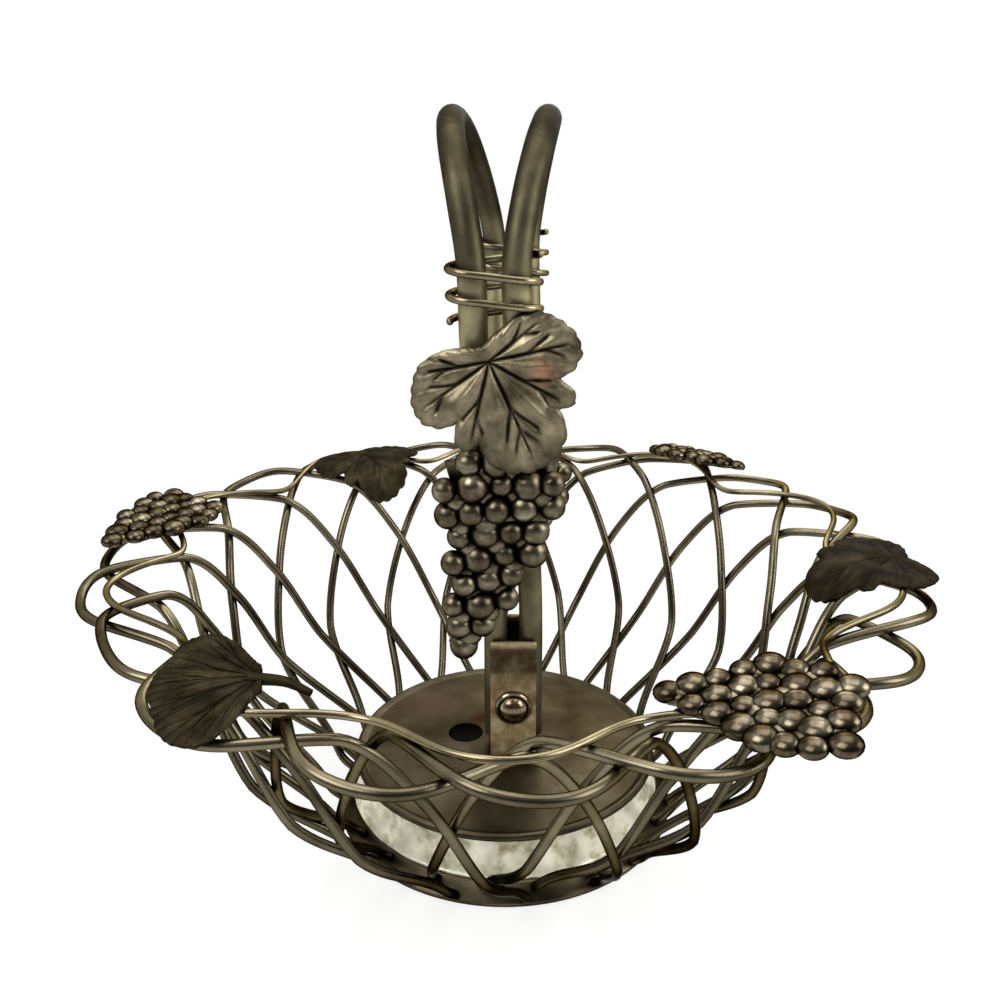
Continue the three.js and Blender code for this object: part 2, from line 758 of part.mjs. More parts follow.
for (const ornament of rimOrnaments) {
  const { name, azimuth, out, heading, lift, slant = 0, tilt = 0, leaf, grapes } = ornament;
  const radius = waveRadius + out;
  const seat = onWave.height + onWave.rise * (radius - onWave.radius) + lift;
  const piece = placed(
    leaf ? vineLeaf(leaf) : grapeBunch(grapes),
    atPolar(radius, azimuth, seat),
    atPolar(1, heading, slant),
    atPolar(-onWave.rise, azimuth, 1).add(new THREE.Vector3(0, -tilt, 0)),
  );
  addPiece(name, piece, leaf ? 'leaf' : 'grape');
}

export default basket;
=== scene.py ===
# Centrepiece basket of looped, silver-plated wires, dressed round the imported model.
import bisect
import math
import bpy
from mathutils import Matrix, Vector


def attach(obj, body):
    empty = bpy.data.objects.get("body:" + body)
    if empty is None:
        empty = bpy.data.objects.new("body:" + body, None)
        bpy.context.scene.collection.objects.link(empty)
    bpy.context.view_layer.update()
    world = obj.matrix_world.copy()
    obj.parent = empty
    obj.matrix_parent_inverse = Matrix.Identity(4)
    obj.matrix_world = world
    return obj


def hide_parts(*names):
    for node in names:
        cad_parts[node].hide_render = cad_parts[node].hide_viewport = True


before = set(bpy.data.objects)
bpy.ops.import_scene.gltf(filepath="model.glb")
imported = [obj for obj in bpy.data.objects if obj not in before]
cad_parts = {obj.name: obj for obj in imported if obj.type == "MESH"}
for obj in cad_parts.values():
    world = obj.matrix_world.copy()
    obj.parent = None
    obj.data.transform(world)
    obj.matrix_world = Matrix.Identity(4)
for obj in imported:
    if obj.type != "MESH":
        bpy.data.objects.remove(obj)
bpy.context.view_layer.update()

mm = 0.001


# Camera, floor and light
cameraSetup = {
    "place": (0, -0.3595, 0.2609),
    "pitchDown": 18.16,
    "lens": 34.7,             # on a 36 mm sensor
    "shift": (-0.0047, -0.0191),
}
bpy.ops.object.camera_add(location=cameraSetup["place"],
                          rotation=(math.radians(90 - cameraSetup["pitchDown"]), 0, 0))
camera = bpy.context.object
camera.name = "photoCamera"
camera.data.lens = cameraSetup["lens"]
camera.data.sensor_width = 36
camera.data.shift_x, camera.data.shift_y = cameraSetup["shift"]
camera.data.clip_start = 0.01
bpy.context.scene.camera = camera
bpy.context.scene.view_settings.view_transform = "Standard"


def toLinear(hexColour):
    channels = [int(hexColour[i:i + 2], 16) / 255 for i in (1, 3, 5)]
    return (*(c / 12.92 if c <= 0.04045 else ((c + 0.055) / 1.055) ** 2.4 for c in channels), 1)


def addNode(tree, kind, settings=None, inputs=None):
    # inputs: socket name or number to a value, or to another node's output. A Mix node's two
    # colours are its inputs 6 and 7, and their mix is its output 2
    node = tree.nodes.new(kind)
    for key, value in (settings or {}).items():
        setattr(node, key, value)
    for key, value in (inputs or {}).items():
        if isinstance(value, bpy.types.NodeSocket):
            tree.links.new(value, node.inputs[key])
        else:
            node.inputs[key].default_value = value
    return node


def setRamp(node, stops):
    ramp = node.color_ramp
    while len(ramp.elements) > 1:
        ramp.elements.remove(ramp.elements[-1])
    for i, (place, colour) in enumerate(stops):
        element = ramp.elements[0] if i == 0 else ramp.elements.new(place)
        element.position = place
        element.color = colour


# The room as the metal mirrors it: a white sweep behind and at the sides, a dim ceiling, and
# a dark front where the camera stands, which gives the metal its dark middles
roomLevels = {                # a place from front or floor, 0, to back or top, 1, and a level
    "ambient": 0.7,
    "walls": [(0.0, 0.1), (0.16, 0.13), (0.32, 0.3), (0.48, 0.62), (0.62, 0.92), (1.0, 1.0)],
    "ceiling": [(0.0, 0.0), (0.74, 0.04), (0.9, 0.3), (1.0, 0.45)],
    "tint": (1, 0.99, 0.97),
}
world = bpy.data.worlds.new("studioRoom")
bpy.context.scene.world = world
world.use_nodes = True
tree = world.node_tree
tree.nodes.clear()
direction = addNode(tree, "ShaderNodeTexCoord")
split = addNode(tree, "ShaderNodeSeparateXYZ", inputs={0: direction.outputs["Generated"]})
levels = []
for part, axis in (("walls", "Y"), ("ceiling", "Z")):
    share = addNode(tree, "ShaderNodeMapRange", inputs={
        "Value": split.outputs[axis], "From Min": -1, "From Max": 1})
    levels.append(addNode(tree, "ShaderNodeValToRGB", inputs={0: share.outputs[0]}))
    setRamp(levels[-1], [(place, (*(level * tint for tint in roomLevels["tint"]), 1))
                         for place, level in roomLevels[part]])
room = addNode(tree, "ShaderNodeMix", {"data_type": "RGBA", "blend_type": "LIGHTEN"}, {
    0: 1, 6: levels[0].outputs[0], 7: levels[1].outputs[0]})
rays = addNode(tree, "ShaderNodeLightPath")
plain = addNode(tree, "ShaderNodeBackground", inputs={
    "Color": (1, 1, 1, 1), "Strength": roomLevels["ambient"]})
seen = addNode(tree, "ShaderNodeBackground", inputs={"Color": room.outputs[2], "Strength": 1})
white = addNode(tree, "ShaderNodeBackground", inputs={"Color": (1, 1, 1, 1), "Strength": 1})
gloss = addNode(tree, "ShaderNodeMixShader", inputs={
    0: rays.outputs["Is Glossy Ray"], 1: plain.outputs[0], 2: seen.outputs[0]})
straight = addNode(tree, "ShaderNodeMath", {"operation": "MAXIMUM"}, {
    0: rays.outputs["Is Camera Ray"], 1: rays.outputs["Is Transmission Ray"]})
toCamera = addNode(tree, "ShaderNodeMixShader", inputs={
    0: straight.outputs[0], 1: gloss.outputs[0], 2: white.outputs[0]})
addNode(tree, "ShaderNodeOutputWorld", inputs={"Surface": toCamera.outputs[0]})

lampAim = (0, 0, 0.1)
lamps = [
    {"name": "keyLamp", "place": (-0.6, -0.55, 0.95), "size": 0.7, "watts": 8},
    {"name": "fillLamp", "place": (0.85, -0.3, 0.6), "size": 0.6, "watts": 5},
    {"name": "topLamp", "place": (0.05, 0.15, 1.1), "size": 0.8, "watts": 5},
    {"name": "backLamp", "place": (0.3, 0.9, 0.7), "size": 0.7, "watts": 4},
]
for lamp in lamps:
    aim = (Vector(lampAim) - Vector(lamp["place"])).to_track_quat("-Z", "Y").to_euler()
    bpy.ops.object.light_add(type="AREA", location=lamp["place"], rotation=aim)
    light = bpy.context.object
    light.name = lamp["name"]
    light.data.size = lamp["size"]
    light.data.energy = lamp["watts"]

floorLook = {
    "size": 8, "colour": "#f4f3f0",
    "white": 0.8,             # share of plain white near the basket, where its shadow shows
    "fadeFrom": 0.2, "fadeTo": 0.36,        # from the middle; beyond it all is white
    "foot": 0.0615,           # nothing is whitened inside the foot ring
}
bpy.ops.mesh.primitive_plane_add(size=floorLook["size"], location=(0, 0, 0))
floor = bpy.context.object
floor.name = "floor"
paper = bpy.data.materials.new("whitePaperFloor")
paper.use_nodes = True
tree = paper.node_tree
tree.nodes.clear()
rays = addNode(tree, "ShaderNodeLightPath")
matte = addNode(tree, "ShaderNodeBsdfDiffuse", inputs={"Color": toLinear(floorLook["colour"])})
glow = addNode(tree, "ShaderNodeEmission", inputs={"Color": (1, 1, 1, 1), "Strength": 1})
place = addNode(tree, "ShaderNodeTexCoord")
distance = addNode(tree, "ShaderNodeVectorMath", {"operation": "LENGTH"}, {
    0: place.outputs["Object"]})
far = addNode(tree, "ShaderNodeMapRange", inputs={
    "Value": distance.outputs["Value"], "From Min": floorLook["fadeFrom"],
    "From Max": floorLook["fadeTo"], "To Min": floorLook["white"], "To Max": 1})
beyondFoot = addNode(tree, "ShaderNodeMath", {"operation": "GREATER_THAN"}, {
    0: distance.outputs["Value"], 1: floorLook["foot"]})
seenStraight = addNode(tree, "ShaderNodeMath", {"operation": "MAXIMUM"}, {
    0: rays.outputs["Is Camera Ray"], 1: rays.outputs["Is Glossy Ray"]})
seenWhite = addNode(tree, "ShaderNodeMath", {"operation": "MAXIMUM"}, {
    0: seenStraight.outputs[0], 1: rays.outputs["Is Transmission Ray"]})
outside = addNode(tree, "ShaderNodeMath", {"operation": "MULTIPLY"}, {
    0: far.outputs[0], 1: beyondFoot.outputs[0]})
share = addNode(tree, "ShaderNodeMath", {"operation": "MULTIPLY"}, {
    0: seenWhite.outputs[0], 1: outside.outputs[0]})
both = addNode(tree, "ShaderNodeMixShader", inputs={
    0: share.outputs[0], 1: matte.outputs[0], 2: glow.outputs[0]})
addNode(tree, "ShaderNodeOutputMaterial", inputs={"Surface": both.outputs[0]})
floor.data.materials.append(paper)
print("camera, room and floor ready")


# Finishes
# Silver plate over brass: pale where it is rubbed, olive-brown where it has tarnished, and
# nearly black in the hollows. Blotch, grain and hollow are sizes in mm. Painted light and
# shade is a height in mm and a factor on the colour there, and a spot is a place in mm, its
# size and its tone
plateFinishes = {
    # Brass wire drawn, plated and polished: smooth, so soft long highlights run along it.
    # Painted shade darkens the wires low down, round the foot
    "drawnPlatedWire": {"dark": "#433d2f", "mid": "#6b6350", "pale": "#948b72", "blotch": 38,
                        "rough": (0.25, 0.3), "grain": 2.4, "bump": 0.01, "hollow": 1.5,
                        "shade": [(12, 0.5), (45, 0.68), (84, 1)]},
    # The same in thinner wire that hands have rubbed, so it is paler and brassier
    "rubbedPlatedWire": {"dark": "#5a523d", "mid": "#827860", "pale": "#aea27f", "blotch": 30,
                         "rough": (0.22, 0.3), "grain": 1.4, "bump": 0.01, "hollow": 3},
    # Heavy cast and turned ring, dark in its corners and worn bright along the edge
    "turnedPlatedRing": {"dark": "#2f2a1e", "mid": "#4b4434", "pale": "#726a53", "blotch": 22,
                         "rough": (0.28, 0.38), "grain": 1.8, "bump": 0.03, "hollow": 4},
    # Thin silvered sheet rolled into a band, still bright, with cloudy yellowed patches
    "rolledPlatedBand": {"dark": "#968e66", "mid": "#e6e0c7", "pale": "#fbf9ec", "blotch": 7,
                         "rough": (0.32, 0.5), "grain": 3.0, "bump": 0.1, "hollow": 2,
                         "metal": 0.55, "edge": "#ffffff"},
    # Sheet spun into a disc, clouded by handling: it only hints at what stands on it. It has a
    # reddish stain and a burnt mark by the hole
    "spunPlatedDisc": {"dark": "#352f24", "mid": "#484133", "pale": "#5d5545", "blotch": 22,
                       "rough": (0.3, 0.4), "grain": 2.4, "bump": 0.03, "hollow": 4,
                       "metal": 0.95, "edge": "#8d887c",
                       "spots": [((-35, 32, 25), 17, "#5f4f44"), ((-10, 19, 25), 6, "#37231a")]},
    # Cut strip whose plate is scuffed and worn, so a coppery tint shows in patches. Painted
    # light makes it pale round the bolt, and painted shade makes a dark band near its top
    "wornPlatedStrapPaintedLightAndShade": {"dark": "#6f4e39", "mid": "#94815f", "pale": "#cbbc98", "blotch": 7,
                        "rough": (0.3, 0.44), "grain": 0.9, "bump": 0.08, "hollow": 2,
                        "metal": 0.6,
                        "shade": [(26, 1.3), (36, 1.8), (48, 1.45), (56, 0.8), (64.5, 0.5),
                                  (66.5, 0.2), (76, 0.2), (79, 1.2)]},
    # Turned and buffed bolt, coppery from handling and glossy
    "buffedPlatedBolt": {"dark": "#594838", "mid": "#8d7b65", "pale": "#c0b096", "blotch": 9,
                         "rough": (0.16, 0.22), "grain": 1.2, "bump": 0.01, "hollow": 1},
    # Brass tube drawn, bent and plated: dull and olive, with painted shade darkening the top.
    # It is darker near the foot, and lighter and golden up towards the binding
    "bentPlatedTube": {"dark": "#58523f", "mid": "#736c54", "pale": "#958c6c", "blotch": 18,
                       "rough": (0.42, 0.54), "grain": 1.5, "bump": 0.04, "hollow": 5,
                       "metal": 0.9,
                       "shade": [(60, 0.6), (100, 1.05), (200, 1.4), (222, 1.9), (231, 0.9),
                                 (244, 0.4)]},
    # Sand-cast leaf on the handle, satin: the chased veins are black, the high lobes rubbed,
    # and one small coppery spot is painted on it
    "castPlatedLeaf": {"dark": "#4b4433", "mid": "#7f765f", "pale": "#b3a588", "blotch": 9,
                       "rough": (0.34, 0.5), "grain": 0.9, "bump": 0.12, "hollow": 3,
                       "metal": 0.9, "chased": 1,
                       "spots": [((12, -61, 199), 4.5, "#b98466")]},
    # The same casting on the rim, never cleaned: dark brown and matte, with a fibrous skin
    "tarnishedCastLeaf": {"dark": "#1d180f", "mid": "#2f291c", "pale": "#453e2d", "blotch": 8,
                          "rough": (0.48, 0.62), "grain": 1.1, "bump": 0.5, "hollow": 3,
                          "metal": 0.85, "chased": 0.5},
    # Cast grapes, polished on their rounds and dark brown in the gaps between
    "castPlatedGrape": {"dark": "#433a2d", "mid": "#6a6150", "pale": "#a49b86", "blotch": 6,
                        "rough": (0.28, 0.36), "grain": 2.4, "bump": 0.01, "hollow": 3.5},
    # The bunches on the rim get knocked and rubbed, so they are glossier and uneven in tone
    "rubbedCastGrape": {"dark": "#2e271d", "mid": "#544b3c", "pale": "#9a917d", "blotch": 7,
                        "rough": (0.2, 0.28), "grain": 2.4, "bump": 0.01, "hollow": 4},
}
plateSkin = {
    "tones": (0.3, 0.5, 0.74),              # blotch level of the dark, mid and pale tone
    "blotchDetail": 5, "grainDetail": 3, "blend": 0.55,
    "grainSpan": (0.3, 0.7),                # grain level of the smooth and the rough skin
    "hollow": "#120d07",                    # tarnish that nobody can rub away
    "hollowSpan": (0.3, 0.85),              # openness where it is full, and where it ends
    "edge": "#625d4e",                      # seen edge on, a tarnished skin doesn't whiten
    "spotSpan": (0.6, 1.7), "spotMost": 0.75, "spotRagged": 1.3,      # shares of a spot's size
    "tallest": 300,                         # mm, the height that a ramp of painted light and shade spans
    "grainDepth": 0.4,                      # mm
}


def silverPlate(name, look):
    # Tarnish gathers in blotches and in hollows, and fine rubbing shows as grain in the gloss
    material = bpy.data.materials.new(name)
    material.use_nodes = True
    tree = material.node_tree
    tree.nodes.clear()
    spot = addNode(tree, "ShaderNodeTexCoord").outputs["Object"]
    blotches = addNode(tree, "ShaderNodeTexNoise", inputs={
        "Vector": spot, "Scale": 1 / (look["blotch"] * mm), "Detail": plateSkin["blotchDetail"],
        "Roughness": plateSkin["blend"]})
    grain = addNode(tree, "ShaderNodeTexNoise", inputs={
        "Vector": spot, "Scale": 1 / (look["grain"] * mm), "Detail": plateSkin["grainDetail"],
        "Roughness": plateSkin["blend"]})
    colour = addNode(tree, "ShaderNodeValToRGB", inputs={0: blotches.outputs["Fac"]})
    setRamp(colour, [(level, toLinear(look[tone]))
                     for level, tone in zip(plateSkin["tones"], ("dark", "mid", "pale"))])
    gloss = addNode(tree, "ShaderNodeMapRange", inputs={
        "Value": grain.outputs["Fac"],
        "From Min": plateSkin["grainSpan"][0], "From Max": plateSkin["grainSpan"][1],
        "To Min": look["rough"][0], "To Max": look["rough"][1]})

    # Tarnish in the hollows, then spots, painted light and shade by height, and ink in the
    # chased lines
    tarnish = toLinear(plateSkin["hollow"])
    depth = addNode(tree, "ShaderNodeAmbientOcclusion", {"samples": 16},
                    {"Distance": look["hollow"] * mm})
    clear = addNode(tree, "ShaderNodeMapRange", inputs={
        "Value": depth.outputs["AO"],
        "From Min": plateSkin["hollowSpan"][0], "From Max": plateSkin["hollowSpan"][1]})
    colourOut = addNode(tree, "ShaderNodeMix", {"data_type": "RGBA"}, {
        0: clear.outputs[0], 6: tarnish, 7: colour.outputs[0]}).outputs[2]
    for place, size, tone in look.get("spots", ()):
        away = addNode(tree, "ShaderNodeVectorMath", {"operation": "DISTANCE"}, {
            0: spot, 1: [v * mm for v in place]})
        ragged = addNode(tree, "ShaderNodeTexNoise", inputs={
            "Vector": spot, "Scale": plateSkin["spotRagged"] / (size * mm),
            "Detail": plateSkin["grainDetail"]})
        edge = addNode(tree, "ShaderNodeMath", {"operation": "MULTIPLY_ADD"}, {
            0: ragged.outputs["Fac"], 1: size * mm, 2: away.outputs["Value"]})
        inside = addNode(tree, "ShaderNodeMapRange", inputs={
            "Value": edge.outputs[0], "From Min": plateSkin["spotSpan"][0] * size * mm,
            "From Max": plateSkin["spotSpan"][1] * size * mm,
            "To Min": plateSkin["spotMost"], "To Max": 0})
        colourOut = addNode(tree, "ShaderNodeMix", {"data_type": "RGBA"}, {
            0: inside.outputs[0], 6: colourOut, 7: toLinear(tone)}).outputs[2]
    if "shade" in look:
        # Painted light and shade by height. A ramp stops at 1, so it holds the factors' halves,
        # doubled after it
        parts = addNode(tree, "ShaderNodeSeparateXYZ", inputs={0: spot})
        height = addNode(tree, "ShaderNodeMath", {"operation": "DIVIDE"}, {
            0: parts.outputs["Z"], 1: plateSkin["tallest"] * mm})
        level = addNode(tree, "ShaderNodeValToRGB", inputs={0: height.outputs[0]})
        setRamp(level, [(z / plateSkin["tallest"], (factor / 2, factor / 2, factor / 2, 1))
                        for z, factor in look["shade"]])
        double = addNode(tree, "ShaderNodeVectorMath", {"operation": "SCALE"}, {
            0: level.outputs[0], "Scale": 2})
        colourOut = addNode(tree, "ShaderNodeVectorMath", {"operation": "MULTIPLY"}, {
            0: colourOut, 1: double.outputs[0]}).outputs[0]
    if "chased" in look:
        line = addNode(tree, "ShaderNodeAttribute", {"attribute_name": "chasing"})
        ink = addNode(tree, "ShaderNodeMath", {"operation": "MULTIPLY"}, {
            0: line.outputs["Fac"], 1: look["chased"]})
        colourOut = addNode(tree, "ShaderNodeMix", {"data_type": "RGBA"}, {
            0: ink.outputs[0], 6: colourOut, 7: tarnish}).outputs[2]
    relief = addNode(tree, "ShaderNodeBump", inputs={
        "Height": grain.outputs["Fac"], "Strength": look["bump"],
        "Distance": plateSkin["grainDepth"] * mm})
    surface = addNode(tree, "ShaderNodeBsdfPrincipled", inputs={
        "Base Color": colourOut, "Metallic": look.get("metal", 1),
        "Specular Tint": toLinear(look.get("edge", plateSkin["edge"])),
        "Roughness": gloss.outputs[0], "Normal": relief.outputs[0]})
    addNode(tree, "ShaderNodeOutputMaterial", inputs={"Surface": surface.outputs[0]})
    return material


finishes = {name: silverPlate(name, look) for name, look in plateFinishes.items()}
print("finishes ready")


# Shared ways of making
smoothAngle = 38              # degrees; sharper edges stay sharp
onAxis = 0.001                # mm, the radius of a profile's end on the axis


def deselect():
    if bpy.context.mode != "OBJECT":
        bpy.ops.object.mode_set(mode="OBJECT")
    bpy.ops.object.select_all(action="DESELECT")


def pick(*pieces):
    deselect()
    for piece in pieces:
        piece.select_set(True)
    bpy.context.view_layer.objects.active = pieces[0]


def editAll():
    # Into edit mode with the whole mesh selected
    bpy.ops.object.mode_set(mode="EDIT")
    bpy.ops.mesh.select_all(action="SELECT")


def applyAll(piece):
    pick(piece)
    for modifier in list(piece.modifiers):
        bpy.ops.object.modifier_apply(modifier=modifier.name)


def settle(*pieces):
    # Put the place, turn and scale into the mesh
    pick(*pieces)
    bpy.ops.object.transform_apply(location=True, rotation=True, scale=True)


def finishPiece(piece, name, look, body, node):
    # Smooth a piece, give it its finish, and tie it to its body and the solid it replaces
    piece.name = name
    applyAll(piece)
    settle(piece)
    bpy.ops.object.shade_smooth_by_angle(angle=math.radians(smoothAngle))
    piece.data.materials.clear()
    piece.data.materials.append(finishes[look])
    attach(piece, body)
    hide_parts(node)


def smoothPath(nodes, each):
    # Centripetal Catmull-Rom through the nodes, the curve that the model's wires follow
    points = [Vector(n) for n in nodes]
    last = len(points) - 1
    path = []
    for i in range(last):
        b, c = points[i], points[i + 1]
        a = points[i - 1] if i > 0 else 2 * b - c
        d = points[i + 2] if i + 2 <= last else 2 * c - b
        ab, bc, cd = [max((q - p).length ** 0.5, 1e-6) for p, q in ((a, b), (b, c), (c, d))]
        start = ((b - a) / ab - (c - a) / (ab + bc) + (c - b) / bc) * bc
        stop = ((c - b) / bc - (d - b) / (bc + cd) + (d - c) / cd) * bc
        for j in range(each + (i == last - 1)):
            t = j / each
            path.append(b + start * t + (3 * (c - b) - 2 * start - stop) * t ** 2
                        + (2 * (b - c) + start + stop) * t ** 3)
    return path


def roundWire(path, diameter, sides=16, closed=False, taper=None):
    # A bevelled curve turned into a mesh. Taper gives the radius share along it, from 0 to 1
    bpy.ops.curve.primitive_bezier_curve_add()
    wire = bpy.context.object
    curve = wire.data
    curve.splines.clear()
    spline = curve.splines.new("POLY")
    radii = [1.0] * len(path)
    if taper:
        radii = [taper(i / (len(path) - 1)) for i in range(len(path))]
    spline.points.add(len(path) - 1)
    for point, place, radius in zip(spline.points, path, radii):
        point.co = (*place, 1)
        point.radius = radius
    spline.use_cyclic_u = closed
    curve.dimensions = "3D"
    curve.twist_mode = "MINIMUM"
    curve.bevel_depth = diameter / 2
    curve.bevel_resolution = sides // 4 - 1
    curve.use_fill_caps = True
    pick(wire)
    bpy.ops.object.convert(target="MESH")
    return bpy.context.object


def spun(profile, steps=144):
    # A profile of (radius, height) in mm, drawn by extruding a vertex, then spun round Z
    bpy.ops.mesh.primitive_plane_add(size=mm)
    piece = bpy.context.object
    editAll()
    bpy.ops.mesh.merge(type="CENTER")
    first = Vector((profile[0][0] * mm, 0, profile[0][1] * mm))
    bpy.ops.transform.translate(value=first)
    for (r0, h0), (r1, h1) in zip(profile, profile[1:]):
        bpy.ops.mesh.extrude_region_move(TRANSFORM_OT_translate={
            "value": ((r1 - r0) * mm, 0, (h1 - h0) * mm)})
    bpy.ops.mesh.select_all(action="SELECT")
    bpy.ops.mesh.spin(steps=steps, angle=2 * math.pi, center=(0, 0, 0), axis=(0, 0, 1))
    bpy.ops.mesh.select_all(action="SELECT")
    bpy.ops.mesh.remove_doubles(threshold=0.01 * mm)
    bpy.ops.mesh.normals_make_consistent(inside=False)
    bpy.ops.object.mode_set(mode="OBJECT")
    return piece


def arc(middle, radius, start, stop, steps):
    # Points of a round corner in a profile, angles in degrees
    angles = [math.radians(start + (stop - start) * i / steps) for i in range(steps + 1)]
    return [(middle[0] + radius * math.cos(angle), middle[1] + radius * math.sin(angle))
            for angle in angles]


def cutAway(piece, cutter):
    # Cut another object's shape out of a piece, and throw that object away
    cut = piece.modifiers.new("cut", "BOOLEAN")
    cut.operation, cut.object, cut.solver = "DIFFERENCE", cutter, "EXACT"
    applyAll(piece)
    pick(cutter)
    bpy.ops.object.delete()


def cutRound(piece, radius, depth, place, sides=48, alongY=False):
    # A round hole upright through a place in mm, or lying along Y
    bpy.ops.mesh.primitive_cylinder_add(
        vertices=sides, radius=radius * mm, depth=depth * mm,
        location=[v * mm for v in place], rotation=(math.pi / 2 if alongY else 0, 0, 0))
    cutAway(piece, bpy.context.object)


def breakEdges(piece, width, segments):
    edge = piece.modifiers.new("edges", "BEVEL")
    edge.width, edge.segments, edge.limit_method = width * mm, segments, "ANGLE"
    applyAll(piece)


def atPolar(radius, degrees, height):
    angle = math.radians(degrees)
    return Vector((radius * math.cos(angle), radius * math.sin(angle), height))


# Loop wires
loopSizes = {
    "count": 20, "wire": 3.6, "sides": 20, "gap": 0.35, "firstTurn": 270,
    "crown": (159.9, 110.7), "seat": (68.2, 4.7),       # radius, height
    "seatSlope": 43, "seatTurn": 43.2, "seatStraight": 8,
    "touch": 0.3,             # the gap that stands for a soldered or resting joint
    "wall": [(5.1, 159, 113.3), (8.5, 149.3, 111.8), (17, 129.1, 106.7), (25.3, 118.6, 82.6),
             (34, 106.2, 42.8), (40.2, 78, 17.1)],      # turn from the tip, radius, height
    "handBend": [2, 3, 1, -1, 0, 1, 0, 0, 1, 1, 0, 0, 0, 0, -1, 0, -3, -5, -1, 4],    # degrees
    "pushedIn": (17, 7),      # one loop, and how far its tip has been pushed in
    "crownEase": (28, 150), "footEase": (14, 60),       # points each way, passes
    "footClear": 2,           # points between the foot's easing and the wire's end
}
slope = math.radians(loopSizes["seatSlope"])
seatRadius, seatHeight = loopSizes["seat"]
straight, touch = loopSizes["seatStraight"], loopSizes["touch"]
wall = [(0, *loopSizes["crown"]), *loopSizes["wall"],
        (loopSizes["seatTurn"], seatRadius + straight * math.cos(slope),
         seatHeight + straight * math.sin(slope)),
        (loopSizes["seatTurn"], seatRadius + touch * math.cos(slope),
         seatHeight + touch * math.sin(slope))]
layer = (loopSizes["wire"] + loopSizes["gap"]) / 2


def wallNormal(i):
    # Square to the wall at a node, as (radius, height), towards the lower layer of wires
    if i == 0:
        return Vector((0, -1))
    before, after = wall[i - 1], wall[min(i + 1, len(wall) - 1)]
    along = Vector((after[1] - before[1], after[2] - before[2]))
    return Vector((-along.y, along.x)).normalized()


def loopPath(azimuth, short):
    # From one foot over the tip to the other; one side runs below the middle layer of the
    # wall and the other above it
    nodes = []
    last = len(wall) - 1
    for i in range(-last, last + 1):
        turn, radius, height = wall[abs(i)]
        sign = (i > 0) - (i < 0)
        normal = wallNormal(abs(i))
        radius -= short if abs(i) <= 1 else 0
        nodes.append(atPolar((radius + layer * sign * normal.x) * mm, azimuth + turn * sign,
                             (height + layer * sign * normal.y) * mm))
    return smoothPath(nodes, 10)


def eased(path, middle, reach, passes):
    # Evens out the bends round a point and less so towards the ends of the reach, as a wire
    # bent over a round former has
    for _ in range(passes):
        before = list(path)
        for i in range(middle - reach, middle + reach + 1):
            share = (1 - abs(i - middle) / (reach + 1)) / 2
            path[i] = before[i] * (1 - share) + (before[i - 1] + before[i + 1]) * (share / 2)
    return path


loopAzimuths = [loopSizes["firstTurn"] + 360 * k / loopSizes["count"] + loopSizes["handBend"][k]
                for k in range(loopSizes["count"])]
for k, azimuth in enumerate(loopAzimuths):
    short = loopSizes["pushedIn"][1] if k == loopSizes["pushedIn"][0] else 0
    path = loopPath(azimuth, short)
    path = eased(path, len(path) // 2, *loopSizes["crownEase"])
    foot = loopSizes["footEase"][0] + loopSizes["footClear"]
    for middle in (foot, len(path) - 1 - foot):
        path = eased(path, middle, *loopSizes["footEase"])
    wire = roundWire(path, loopSizes["wire"] * mm, loopSizes["sides"])
    finishPiece(wire, f"loopWire{k + 1:02d}", "drawnPlatedWire", "basket",
                f"loop_wire_{k + 1:02d}")
print("loop wires bent")


# Rim wire
rimSizes = {"wire": 2.5, "waves": 10, "radius": 141, "swing": 9, "firstOut": 270, "lift": 0.3,
            "steps": 400}
crownSteps = 60
crownCurve = smoothPath([(r, 0, h) for _, r, h in wall], crownSteps)


def rimPoint(radius, lift):
    # At a radius on the inner slope of the rim and a lift square to it, in mm: the radius and
    # height there, and how steeply the slope rises outwards. The slope starts past two nodes
    i = next(i for i in range(2 * crownSteps, len(crownCurve)) if crownCurve[i].x <= radius)
    a, b = crownCurve[i - 1], crownCurve[i]
    place = a.lerp(b, (a.x - radius) / (a.x - b.x))
    along = (b - a).normalized()
    return place.x + lift * along.z, place.z - lift * along.x, along.z / along.x


waveAbove = layer + loopSizes["wire"] / 2 + rimSizes["lift"] + rimSizes["wire"] / 2


def wavePoint(turn):
    phase = math.radians(rimSizes["waves"] * (turn - rimSizes["firstOut"]))
    out = rimSizes["swing"] * math.cos(phase)
    radius, height = rimPoint(rimSizes["radius"] + out, waveAbove)[:2]
    return atPolar(radius * mm, turn, height * mm)


rimPath = [wavePoint(360 * i / rimSizes["steps"]) for i in range(rimSizes["steps"])]
rimWire = roundWire(rimPath, rimSizes["wire"] * mm, closed=True)
finishPiece(rimWire, "rimWaveWire", "rubbedPlatedWire", "basket", "rim_wave_wire")
print("rim wire laid")


